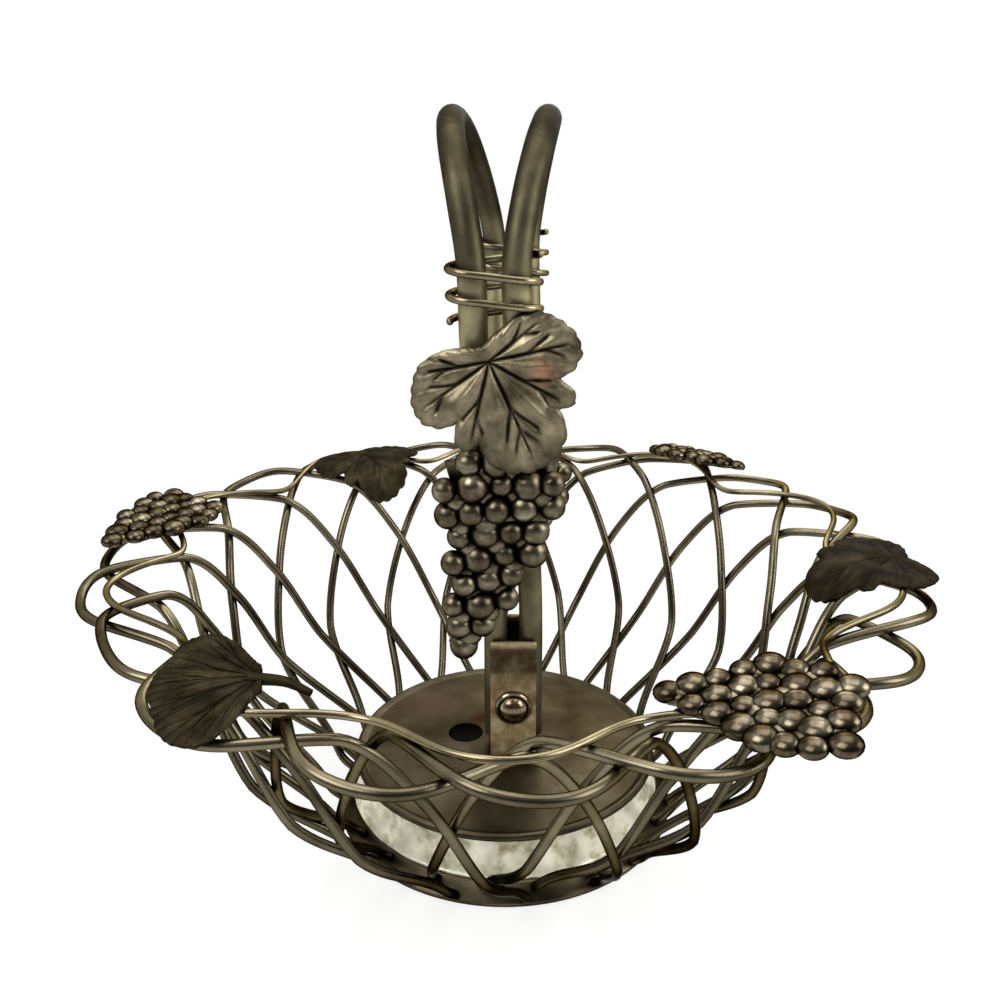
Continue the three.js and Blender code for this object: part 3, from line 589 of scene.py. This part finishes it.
# Foot
ringSizes = {
    "inner": 61, "seatHalf": 4.1, "chamfer": 0.6, "topBreak": 0.4,
    "underside": 2.2, "round": 1.7,         # in from the seat's edge; radius of its low corner
    "lowBreak": (0.3, 0.6), "shoulder": 0.5, "highBreak": 0.3,
}
seatLow = (seatRadius + ringSizes["seatHalf"] * math.sin(slope),
           seatHeight - ringSizes["seatHalf"] * math.cos(slope))
seatHigh = (seatRadius - ringSizes["seatHalf"] * math.sin(slope),
            seatHeight + ringSizes["seatHalf"] * math.cos(slope))
ringInner, ringTop = ringSizes["inner"], seatHigh[1]
lowRound = ringSizes["round"]
footRing = spun([
    (ringInner, ringSizes["chamfer"]), (ringInner + ringSizes["chamfer"], 0),
    (seatLow[0] - ringSizes["underside"], 0),
    *arc((seatLow[0] - lowRound, lowRound), lowRound, -70, 20, 6),
    (seatLow[0] - ringSizes["lowBreak"][0], seatLow[1] + ringSizes["lowBreak"][1]),
    (seatHigh[0] + ringSizes["shoulder"], seatHigh[1] - ringSizes["shoulder"]),
    (seatHigh[0] - ringSizes["highBreak"], ringTop),
    (ringInner + ringSizes["topBreak"], ringTop), (ringInner, ringTop - ringSizes["topBreak"]),
    (ringInner, ringSizes["chamfer"]),
])
finishPiece(footRing, "footRing", "turnedPlatedRing", "basket", "base_ring")

discSizes = {
    "top": 25, "thickness": 1.6, "lipOuter": 63.3, "lipWidth": 2.4,
    "lipRound": 1.6, "lipLow": 0.6,         # radius of the rolled lip, its middle below the top
    "lipUnder": (0.4, 0.9),                 # half run and drop of the step into the lip
    "lipInside": [(0.7, 0.05), (2, -0.2)],  # in from the lip, height from the top
    "face": [(40, -0.3), (12, 0)],          # radius, height from the top: a little dished
    "hole": (-17, 7), "holeRadius": 7.5, "holeSides": 64, "cutDepth": 8,
}
discTop = discSizes["top"]
discUnder = discTop - discSizes["thickness"]
lipInner = discSizes["lipOuter"] - discSizes["lipWidth"]

drumSizes = {
    "foot": 64.9, "wall": 1.5,
    "bead": [(0, 0), (0, 0.7), (0.7, 1.3), (1.6, 4.5)],     # in from the foot, height over it
    "neck": (0.1, 3.5),                     # out from the top, height below it
    "inside": (1.7, 4.5),
}
drumLow, drumHigh = ringTop + touch, discUnder - touch
drumTop = lipInner - touch
drumInner = drumSizes["foot"] - drumSizes["wall"]
drum = spun([
    (drumInner, drumLow),
    *[(drumSizes["foot"] - inset, drumLow + rise) for inset, rise in drumSizes["bead"]],
    (drumTop + drumSizes["neck"][0], drumHigh - drumSizes["neck"][1]), (drumTop, drumHigh),
    (drumTop - drumSizes["wall"], drumHigh),
    (drumInner - drumSizes["inside"][0], drumLow + drumSizes["inside"][1]), (drumInner, drumLow),
])
finishPiece(drum, "drumBand", "rolledPlatedBand", "basket", "base_drum")

stepRun, stepDrop = discSizes["lipUnder"]
lipMiddle = (discSizes["lipOuter"] - discSizes["lipRound"], discTop - discSizes["lipLow"])
disc = spun([
    (onAxis, discUnder), (lipInner - stepRun, discUnder),
    (lipInner + stepRun, discUnder - stepDrop),
    *arc(lipMiddle, discSizes["lipRound"], -75, 120, 9),
    *[(lipInner - inset, discTop + rise) for inset, rise in discSizes["lipInside"]],
    *[(radius, discTop + rise) for radius, rise in discSizes["face"]], (onAxis, discTop),
])
cutRound(disc, discSizes["holeRadius"], discSizes["cutDepth"], (*discSizes["hole"], discTop),
         discSizes["holeSides"])
finishPiece(disc, "satinDisc", "spunPlatedDisc", "basket", "top_disc")
print("foot turned")


# Bracket and pivot
pivot = {
    "x": 3.5, "height": 50, "bore": 2.1,
    "throughCut": 12,         # how long a cutter is, or how far it reaches past the strap
}
strapSizes = {"width": 18.7, "thickness": 2.6, "top": 79, "earGap": 22.4, "edge": 0.7}
bracketFoot = discTop + touch
bracketFloor = bracketFoot + strapSizes["thickness"]
earInner = strapSizes["earGap"] / 2
earOuter = earInner + strapSizes["thickness"]


def block(width, deep, low, high):
    # A box over the pivot's middle, sizes in mm
    bpy.ops.mesh.primitive_cube_add(size=1)
    box = bpy.context.object
    box.scale = (width * mm, deep * mm, (high - low) * mm)
    box.location = (pivot["x"] * mm, 0, (high + low) / 2 * mm)
    settle(box)
    return box


strap = block(strapSizes["width"], 2 * earOuter, bracketFoot, strapSizes["top"])
cutAway(strap, block(2 * strapSizes["width"], 2 * earInner, bracketFloor,
                     strapSizes["top"] + pivot["throughCut"]))
breakEdges(strap, strapSizes["edge"], 3)
cutRound(strap, pivot["bore"], 2 * earOuter + pivot["throughCut"],
         (pivot["x"], 0, pivot["height"]), alongY=True)

rivetSizes = {"radius": 1.6, "spacing": 11, "steps": 32,
              "head": [(onAxis, 1), (1.6, 0.85), (2.5, 0.45), (2.9, 0)]}      # radius, height
rivetX = {side: pivot["x"] + offset * rivetSizes["spacing"] / 2
          for side, offset in (("Left", -1), ("Right", 1))}
for x in rivetX.values():
    cutRound(strap, rivetSizes["radius"] + touch, pivot["throughCut"], (x, 0, bracketFoot))
finishPiece(strap, "pivotStrap", "wornPlatedStrapPaintedLightAndShade", "basket", "pivot_bracket")

over, under = bracketFloor + touch, discUnder - touch
for side, x in rivetX.items():
    rivet = spun([*[(radius, under - height) for radius, height in rivetSizes["head"]],
                  (rivetSizes["radius"], under), (rivetSizes["radius"], over),
                  *[(radius, over + height) for radius, height in reversed(rivetSizes["head"])]],
                 rivetSizes["steps"])
    rivet.location.x = x * mm
    finishPiece(rivet, f"strapRivet{side}", "wornPlatedStrapPaintedLightAndShade", "basket",
                f"bracket_rivet_{side.lower()}")


def alongBolt(piece):
    # Lay a spun piece along the pivot, its low end towards the viewer
    piece.rotation_euler.x = -math.pi / 2
    piece.location = (pivot["x"] * mm, 0, pivot["height"] * mm)
    settle(piece)
    return piece


boltSizes = {
    "radius": 2, "headRadius": 7.3, "headHeight": 5, "domeRadius": 5.7, "domeStep": 9,
    "collar": 1.2, "collarEdge": 0.5,
    "groove": [(0.2, 0.4), (0.6, 0)],       # out from the dome, depth into the collar
    "tail": 1.2, "tailBreak": (0.4, 0.3), "steps": 64,
}
nutSizes = {"radius": 5, "height": 3.6, "edge": 0.35}
headFace = earOuter + touch
nutFace = headFace + nutSizes["height"]
collarFace = headFace + boltSizes["collar"]
tailEnd = nutFace + boltSizes["tail"]
domeRise = boltSizes["headHeight"] - boltSizes["collar"]
bolt = spun([
    *[(max(onAxis, boltSizes["domeRadius"] * math.sin(math.radians(a))),
       -collarFace - domeRise * math.cos(math.radians(a)))
      for a in range(0, 91, boltSizes["domeStep"])],
    *[(boltSizes["domeRadius"] + out, deep - collarFace) for out, deep in boltSizes["groove"]],
    (boltSizes["headRadius"] - boltSizes["collarEdge"], -collarFace),
    (boltSizes["headRadius"], boltSizes["collarEdge"] - collarFace),
    (boltSizes["headRadius"], -headFace), (boltSizes["radius"], -headFace),
    (boltSizes["radius"], tailEnd - boltSizes["tailBreak"][1]),
    (boltSizes["radius"] - boltSizes["tailBreak"][0], tailEnd), (onAxis, tailEnd),
], boltSizes["steps"])
finishPiece(alongBolt(bolt), "domedBolt", "buffedPlatedBolt", "basket", "pivot_bolt")

nutMiddle = (pivot["x"], (headFace + nutFace) / 2, pivot["height"])
bpy.ops.mesh.primitive_cylinder_add(
    vertices=6, radius=nutSizes["radius"] * mm, depth=nutSizes["height"] * mm,
    location=[v * mm for v in nutMiddle], rotation=(math.pi / 2, 0, 0))
nut = bpy.context.object
breakEdges(nut, nutSizes["edge"], 2)
cutRound(nut, pivot["bore"], pivot["throughCut"], nutMiddle, alongY=True)
finishPiece(nut, "hexNut", "buffedPlatedBolt", "basket", "pivot_nut")

bushSizes = {"wall": 1.1, "edge": 0.2, "steps": 48}
bushHalf = earInner - touch
bushOuter = pivot["bore"] + bushSizes["wall"]
bush = spun([
    (pivot["bore"], -bushHalf), (bushOuter - bushSizes["edge"], -bushHalf),
    (bushOuter, -bushHalf + bushSizes["edge"]), (bushOuter, bushHalf - bushSizes["edge"]),
    (bushOuter - bushSizes["edge"], bushHalf), (pivot["bore"], bushHalf),
    (pivot["bore"], -bushHalf),
], bushSizes["steps"])
finishPiece(alongBolt(bush), "pivotBush", "buffedPlatedBolt", "handle", "pivot_bush")
print("bracket and pivot made")


# Handle hoops
hoopSizes = {
    "tube": 9.4, "sides": 32, "spread": 7.2, "foot": 34, "inset": 6, "top": 276.3,
    "topSplay": 9.4,
    "yaw": 0.059, "lean": -0.021, "leanRun": 60,        # slopes, and the height they grow over
    "side": [(84, 6.2, 0), (100, 10, 0), (122, 20, 0), (150, 33.5, 0), (180, 44.5, 0),
             (206, 50.6, 0), (232, 53, 0), (250, 47.5, 2.8), (266, 34.5, 6.4), (274, 18, 8.6)],
}                             # side: height, distance from the middle, splay


def hoopNodes(side):
    # From the near foot over the top to the far one; side is -1 for the left hoop
    strapTop = strapSizes["top"]
    leg = [(hoopSizes["foot"], hoopSizes["inset"], 0),
           ((hoopSizes["foot"] + strapTop) / 2, hoopSizes["inset"], 0),
           (strapTop, hoopSizes["inset"], 0), *hoopSizes["side"]]
    whole = [(h, -r, s) for h, r, s in leg]
    whole += [(hoopSizes["top"], 0, hoopSizes["topSplay"])]
    whole += [(h, r, s) for h, r, s in reversed(leg)]
    nodes = []
    for height, y, splay in whole:
        share = min(1, max(0, (height - strapTop) / hoopSizes["leanRun"]))
        sideways = hoopSizes["yaw"] * y + hoopSizes["lean"] * (height - pivot["height"])
        nodes.append(Vector((pivot["x"] + sideways * share + side * (hoopSizes["spread"] + splay),
                             y, height)) * mm)
    return nodes


hoopPaths = {side: smoothPath(hoopNodes(side), 12) for side in (-1, 1)}


def legMiddle(sign, height):
    # Middle of a leg's two tubes at a height, in metres; sign -1 is the near leg
    spots = []
    for path in hoopPaths.values():
        leg = path if sign < 0 else path[::-1]
        i = next(i for i in range(1, len(leg)) if leg[i].z >= height * mm)
        low, high = leg[i - 1], leg[i]
        spots.append(low.lerp(high, (height * mm - low.z) / (high.z - low.z)))
    return spots[0].lerp(spots[1], 0.5)


for name, side in (("Left", -1), ("Right", 1)):
    hoop = roundWire(hoopPaths[side], hoopSizes["tube"] * mm, hoopSizes["sides"])
    cutRound(hoop, bushOuter + touch, 2 * earInner, (pivot["x"], 0, pivot["height"]), alongY=True)
    finishPiece(hoop, f"handleHoop{name}", "bentPlatedTube", "handle",
                f"handle_hoop_{name.lower()}")
print("handle bent")


# Binding wires
bindSizes = {
    "wire": 2.5, "turns": 2.55, "stepsEach": 64, "start": 0.32,       # a share of a turn
    "drop": 8.4, "loose": 1.3, "middle": 224,           # each turn, off the tubes, height
    "tipRun": 150, "tipLeast": 0.25,        # how its ends round off, and the blunt end's share
}


def filedTip(t):
    # Radius share along the wire, so that its ends close like a filed tip
    fromEnd = min(t, 1 - t) * bindSizes["tipRun"] / (bindSizes["wire"] / 2)
    return max(bindSizes["tipLeast"], math.sqrt(1 - max(0, 1 - fromEnd) ** 2))


def bindingPath(sign):
    # One wire wound down both tubes of a leg, round the bends and straight across the flats
    radius = hoopSizes["tube"] / 2 + bindSizes["loose"] + bindSizes["wire"] / 2
    spread = hoopSizes["spread"]
    flat, half = 2 * spread, math.pi * radius
    steps = round(bindSizes["turns"] * bindSizes["stepsEach"])
    path = []
    for i in range(steps + 1):
        share = i / steps
        along = (bindSizes["start"] + share * bindSizes["turns"]) % 1 * 2 * (flat + half)
        if along < flat:
            x, y = -spread + along, -radius
        elif along < flat + half:
            angle = (along - flat) / radius
            x, y = spread + radius * math.sin(angle), -radius * math.cos(angle)
        elif along < 2 * flat + half:
            x, y = spread - (along - flat - half), radius
        else:
            angle = (along - 2 * flat - half) / radius
            x, y = -spread - radius * math.sin(angle), radius * math.cos(angle)
        height = bindSizes["middle"] + bindSizes["drop"] * bindSizes["turns"] * (0.5 - share)
        path.append(legMiddle(sign, height) + Vector((x, y, 0)) * mm)
    return path


for name, sign in (("near", -1), ("far", 1)):
    wound = roundWire(bindingPath(sign), bindSizes["wire"] * mm, taper=filedTip)
    finishPiece(wound, f"{name}BindingWire", "rubbedPlatedWire", "handle",
                f"{name}_binding_wire")
print("binding wires wound")


# Cast leaves
leafSizes = {
    "thickness": 1.2, "around": 360, "rings": 30,
    "edge": [(0, 1), (14, 0.96), (24, 0.86), (31, 0.7), (40, 0.79), (47, 0.73), (52, 0.58),
             (60, 0.69), (71, 0.76), (83, 0.74), (96, 0.66), (109, 0.58), (122, 0.43),
             (135, 0.27), (156, 0.16), (180, 0.13)],    # angle from the tip, share of the length
    "notch": 52, "notchBlend": 6,           # degrees from the tip; the side lobes start here
    "scallop": 0.022, "scallops": 44,
    "veins": [(0, 0.86), (37, 0.66), (78, 0.66), (104, 0.5)],      # angle, share of the length
    "branches": [(0.5, 30, 0.34), (0.72, -32, 0.24)],    # where along a vein, turn, length
    "veinDeep": 1.0, "veinWide": 0.75, "puff": 2.4, "puffWide": 4.6,
    "edgeDown": 0.9, "edgeSteep": 6,        # how far the edge turns down, and how suddenly
    "ribs": 0.16, "ribCount": 34,           # fine ribs that fan out to the edge
    "fullTurn": 140,                        # a leaf that is full keeps its notch beyond this
    "veinInk": 0.95, "edgeInk": 0.7, "edgeInkSteep": 20,
    "bodyOffset": -0.4,       # the thickness goes mostly below the drawn face
    "stemWide": 4, "stemTip": 0.55,
}
leafAngles = [a for a, _ in leafSizes["edge"]]


def leafVeins():
    # Chased lines on a leaf of length 1, as pairs of points with x aside and y to the tip
    def toward(degrees, reach):
        return Vector((math.sin(math.radians(degrees)), math.cos(math.radians(degrees)))) * reach
    lines = []
    for angle, reach in leafSizes["veins"]:
        for side in ((1,) if angle == 0 else (1, -1)):
            lines.append((Vector((0, 0)), toward(angle * side, reach)))
            for start, turn, long in leafSizes["branches"]:
                for hand in ((1, -1) if angle == 0 else (side,)):
                    root = toward(angle * side, reach * start)
                    lines.append((root, root + toward(angle * side + turn * hand, reach * long)))
    return lines


veinLines = leafVeins()


def edgeShare(turn):
    # How far the edge is at an angle from the tip, with the small teeth of a vine leaf
    turn = abs(turn)
    i = min(max(bisect.bisect_right(leafAngles, turn), 1), len(leafAngles) - 1)
    (a0, s0), (a1, s1) = leafSizes["edge"][i - 1], leafSizes["edge"][i]
    t = (turn - a0) / (a1 - a0)
    tooth = abs(math.sin(math.radians(turn * leafSizes["scallops"] / 2)))
    return s0 + (s1 - s0) * t + leafSizes["scallop"] * tooth * s0


def veinDistance(spot):
    # Shares of the leaf's length from a spot to the nearest chased line
    least = 1
    for a, b in veinLines:
        along = b - a
        t = min(1, max(0, (spot - a).dot(along) / along.length_squared))
        least = min(least, (spot - a - along * t).length)
    return least


def vineLeaf(shape):
    # Rings drawn in from the edge, then each point moved to the leaf's form: lobes puffed
    # between chased veins, halves swept to the tip, side lobes drawn longer, notches filled
    # where it is full, and a part folded down where it is bent
    length = shape["length"]
    bpy.ops.mesh.primitive_circle_add(vertices=leafSizes["around"], radius=1, fill_type="NOTHING")
    leaf = bpy.context.object
    editAll()
    for ring in range(leafSizes["rings"] - 1, 0, -1):
        bpy.ops.mesh.extrude_edges_move()
        bpy.ops.transform.resize(value=(ring / (ring + 1), ring / (ring + 1), 1))
    bpy.ops.mesh.merge(type="CENTER")
    bpy.ops.mesh.select_all(action="SELECT")
    bpy.ops.mesh.normals_make_consistent(inside=False)
    bpy.ops.object.mode_set(mode="OBJECT")
    sweep = shape.get("sweep", (1, 1))
    sides = shape.get("sides", 1)
    fold = math.radians(shape.get("foldTurn", 0))
    puff, relief = leafSizes["puff"], shape.get("relief", 1)
    chasing = leaf.data.attributes.new("chasing", "FLOAT", "POINT")
    for vertex, mark in zip(leaf.data.vertices, chasing.data):
        share = min(1, math.hypot(vertex.co.x, vertex.co.y))
        turn = math.degrees(math.atan2(vertex.co.x, vertex.co.y))
        pastNotch = (abs(turn) - leafSizes["notch"]) / leafSizes["notchBlend"] + 0.5
        longer = 1 + (sides - 1) * min(1, max(0, pastNotch))
        full = shape.get("full", 0) * max(0, 1 - (turn / leafSizes["fullTurn"]) ** 4)
        reach = share * edgeShare(turn)
        whole = share * (edgeShare(turn) * longer * (1 - full) + full)
        toTip = math.radians(turn)
        off = veinDistance(Vector((math.sin(toTip), math.cos(toTip))) * reach) * length
        groove = math.exp(-(off / leafSizes["veinWide"]) ** 2)
        puffed = 1 - math.exp(-(off / leafSizes["puffWide"]) ** 2)
        rim = share ** leafSizes["edgeSteep"]
        swept = toTip * (sweep[0] if turn > 0 else sweep[1])
        x, y = whole * length * math.sin(swept), whole * length * math.cos(swept)
        past = max(0, x * math.sin(fold) + y * math.cos(fold) - shape.get("foldFrom", length))
        rib = math.sin(toTip * leafSizes["ribCount"]) * share
        z = ((puff * puffed - leafSizes["veinDeep"] * groove) * relief * (1 - rim)
             - leafSizes["edgeDown"] * rim + leafSizes["ribs"] * rib
             - shape["cup"] * (x * x + y * y) - shape.get("foldRate", 0) * past * past)
        vertex.co = Vector((x, y, z)) * mm
        mark.value = min(1, leafSizes["veinInk"] * groove * (1 - rim)
                         + leafSizes["edgeInk"] * share ** leafSizes["edgeInkSteep"])
    body = leaf.modifiers.new("body", "SOLIDIFY")
    body.thickness, body.offset = leafSizes["thickness"] * mm, leafSizes["bodyOffset"]
    applyAll(leaf)
    if "stem" in shape:
        run = smoothPath([[v * mm for v in spot] for spot in shape["stem"]], 10)
        stem = roundWire(run, leafSizes["stemWide"] * mm,
                         taper=lambda t: 1 - (1 - leafSizes["stemTip"]) * t)
        pick(leaf, stem)
        bpy.ops.object.join()
    return leaf


def placeOrnament(piece, place, tip, face):
    # Local +Y along the tip and +Z towards the face
    y = tip.normalized()
    z = (face - y * face.dot(y)).normalized()
    x = y.cross(z)
    turn = Matrix((x, y, z)).transposed().to_4x4()
    piece.matrix_world = Matrix.Translation(place) @ turn


handleLeaf = {"length": 38.5, "cup": 0.001, "height": 202, "turn": 0.45}
legOrnaments = {              # the far leg's hang lower, so they show beside the near ones
    "near": {"sign": -1, "lower": 0, "lean": 0.06, "aside": -2.4, "ahead": 5.3,
             "below": 34, "bunchAside": -1, "rows": [3, 5, 5, 4, 4, 3, 3, 2, 1]},
    "far": {"sign": 1, "lower": 20, "lean": -0.2, "aside": -6, "ahead": 3.9,
            "below": 41, "bunchAside": 3, "rows": [3, 5, 5, 4, 3, 2, 1]},
}
for name, leg in legOrnaments.items():
    leaf = vineLeaf(handleLeaf)
    seat = legMiddle(leg["sign"], handleLeaf["height"] - leg["lower"])
    seat += Vector((leg["aside"], leg["sign"] * (hoopSizes["tube"] / 2 + leg["ahead"]), 0)) * mm
    placeOrnament(leaf, seat, Vector((handleLeaf["turn"], leg["sign"] * leg["lean"], -1)),
                  Vector((0, leg["sign"], 0)))
    finishPiece(leaf, f"{name}Leaf", "castPlatedLeaf", "handle", f"{name}_leaf")
print("handle leaves cast")


# Grape bunches
bigGrape = {"radius": 4.9, "pitch": 9, "rowPitch": 9.15, "squash": 1, "longer": 1.04}
smallGrape = {"radius": 4.1, "pitch": 7.2, "rowPitch": 6.9, "squash": 0.74, "longer": 1.14}
bunchSizes = {
    "segments": 20, "rings": 12, "coreSides": 32, "coreCuts": 6,
    "coreShare": 0.8, "coreFlat": 0.16, "lift": 0.2, "across": 0.8, "along": 1, "swell": 0.11,
    "fillShare": 0.93, "fillBack": 2.2,
    "beat": {"lift": (2.1, 1.7), "across": (3, 1), "along": (1, 1.3), "swell": (5, 3)},
}


def uneven(what, row, i):
    # From -1 to 1, and different for each grape: how far it strays from the even rows
    perRow, perGrape = bunchSizes["beat"][what]
    return math.sin(perRow * row + perGrape * i)


def grapeBunch(size, rows, belly, back, bend=0, skew=0):
    # Balls in rows on a flat core, front up, tip along +Y, cast as one. A second layer set
    # back fills the gaps between four grapes, so that only grapes show
    length = (len(rows) - 1) * size["rowPitch"]
    most = max(rows)
    widest = most * size["pitch"] / 2
    bpy.ops.mesh.primitive_uv_sphere_add(segments=bunchSizes["segments"],
                                         ring_count=bunchSizes["rings"],
                                         radius=size["radius"] * mm)
    pattern = bpy.context.object
    grapes = []

    def sway(down):
        return bend * down ** 2 + skew * (1 - down) ** 2

    def addGrape(row, i, across, depth, share):
        ball = pattern.copy()
        ball.data = pattern.data.copy()
        bpy.context.collection.objects.link(ball)
        ball.location = Vector((
            across + sway(row * size["rowPitch"] / length)
            + bunchSizes["across"] * uneven("across", row, i),
            row * size["rowPitch"] + bunchSizes["along"] * uneven("along", row, i), depth)) * mm
        swell = share * (1 + bunchSizes["swell"] * uneven("swell", row, i))
        ball.scale = (swell, swell * size["longer"], swell * size["squash"])
        grapes.append(ball)

    for row, count in enumerate(rows):
        full = (count + 1) / (most + 1)
        for i in range(count):
            across = (i - (count - 1) / 2) * size["pitch"]
            rounded = math.sqrt(1 - (across / (widest + size["pitch"])) ** 2)
            level = 1 - bunchSizes["lift"] * (1 - uneven("lift", row, i))
            depth = belly * rounded * full * level
            addGrape(row, i, across, depth, 1)
            below = rows[row + 1] if row + 1 < len(rows) else 0
            if i + 1 < min(count, below + 1):
                addGrape(row + 0.5, i + 0.5, across + size["pitch"] / 2,
                         depth - bunchSizes["fillBack"] * size["squash"], bunchSizes["fillShare"])
    bpy.ops.mesh.primitive_cone_add(
        vertices=bunchSizes["coreSides"], radius1=widest * bunchSizes["coreShare"] * mm,
        radius2=size["radius"] * mm, depth=length * mm, location=(0, length / 2 * mm, 0),
        rotation=(-math.pi / 2, 0, 0))
    core = bpy.context.object
    core.scale = (1, bunchSizes["coreFlat"], 1)
    pick(pattern)
    bpy.ops.object.delete()
    settle(core)
    editAll()
    bpy.ops.mesh.subdivide(number_cuts=bunchSizes["coreCuts"])
    bpy.ops.object.mode_set(mode="OBJECT")
    for vertex in core.data.vertices:
        vertex.co.x += sway(vertex.co.y / (length * mm)) * mm
    settle(core, *grapes)
    bpy.ops.object.join()
    bunch = bpy.context.object
    editAll()
    bpy.ops.mesh.bisect(plane_co=(0, 0, -back * mm), plane_no=(0, 0, -1), clear_outer=True)
    bpy.ops.mesh.edge_face_add()      # a flat back for each grape, the same in every run
    bpy.ops.object.mode_set(mode="OBJECT")
    return bunch


handleGrapes = {"belly": 5.5, "back": 3.5, "ahead": 4.6, "drift": 0.09, "slant": 0.14,
                "bend": 20}
for name, leg in legOrnaments.items():
    bunch = grapeBunch(bigGrape, leg["rows"], handleGrapes["belly"], handleGrapes["back"],
                       -leg["sign"] * handleGrapes["bend"])
    seat = legMiddle(leg["sign"], handleLeaf["height"] - leg["lower"] - leg["below"])
    seat += Vector((leg["bunchAside"],
                    leg["sign"] * (hoopSizes["tube"] / 2 + handleGrapes["ahead"]), 0)) * mm
    tip = Vector((handleGrapes["drift"], -leg["sign"] * handleGrapes["slant"], -1))
    placeOrnament(bunch, seat, tip, Vector((0, leg["sign"], 0)))
    finishPiece(bunch, f"{name}Grapes", "castPlatedGrape", "handle",
                f"{name}_grapes")
print("handle grapes cast")


# Ornaments on the rim
rimOrnaments = [              # out is beyond the wave's middle, heading the way the tip points
    {"name": "rim_leaf_right", "azimuth": 352, "out": 8, "heading": 193, "lift": 0.7,
     "leaf": {"length": 33, "cup": 0.001, "foldFrom": 11, "foldRate": 0.024,
              "sweep": (1.1, 0.92), "full": 0.3, "relief": 0.45}},
    {"name": "rim_leaf_rear", "azimuth": 122, "out": -3, "heading": 303, "lift": 2.1,
     "leaf": {"length": 33, "cup": 0.001, "foldFrom": 9, "foldRate": 0.028, "foldTurn": 25,
              "sides": 1.12, "relief": 0.6}},
    {"name": "rim_leaf_left", "azimuth": 238.3, "out": -7, "heading": 184, "lift": 4.5,
     "tilt": 0.3, "leaf": {"length": 31, "cup": 0.001, "sweep": (0.47, 0.57), "sides": 1.4,
                          "full": 0.9, "relief": 0.6,
                          "stem": [(0, 3, -0.5), (-1.5, -7.5, -1), (-5, -15, -2.5)]}},
    {"name": "rim_grapes_rear", "azimuth": 55, "out": 3, "heading": 318, "lift": 2.5,
     "tilt": -0.42, "rows": [3, 4, 4, 3, 3, 2, 1], "back": 1},
    {"name": "rim_grapes_left", "azimuth": 163.5, "out": 2, "heading": 249, "lift": 1.4,
     "rows": [4, 5, 5, 4, 4, 3, 2, 1], "back": 1},
    {"name": "rim_grapes_right", "azimuth": 304, "out": 22, "heading": 158, "lift": 5.4,
     "slant": -0.18, "tilt": 0.33, "skew": -6, "rows": [4, 5, 5, 5, 4, 3, 2, 1], "back": 1.2},
]
rimBelly = 1.2                # how much the middle grapes of a rim bunch stand proud
waveTop = rimPoint(rimSizes["radius"], waveAbove + rimSizes["wire"] / 2 + touch)
for ornament in rimOrnaments:
    azimuth, radius = ornament["azimuth"], rimSizes["radius"] + ornament["out"]
    if "rows" in ornament:
        piece = grapeBunch(smallGrape, ornament["rows"], rimBelly, ornament["back"],
                           skew=ornament.get("skew", 0))
        look, slot = "rubbedCastGrape", "cast_grapes"
    else:
        piece = vineLeaf(ornament["leaf"])
        look, slot = "tarnishedCastLeaf", "cast_leaf"
    seat = waveTop[1] + waveTop[2] * (radius - waveTop[0]) + ornament["lift"]
    placeOrnament(piece, atPolar(radius * mm, azimuth, seat * mm),
                  atPolar(1, ornament["heading"], ornament.get("slant", 0)),
                  atPolar(-waveTop[2], azimuth, 1) + Vector((0, -ornament.get("tilt", 0), 0)))
    words = ornament["name"].split("_")
    pieceName = words[0] + "".join(word.title() for word in words[1:])
    finishPiece(piece, pieceName, look, "basket", ornament["name"])
print("rim ornaments laid")


# Leave nothing selected
deselect()
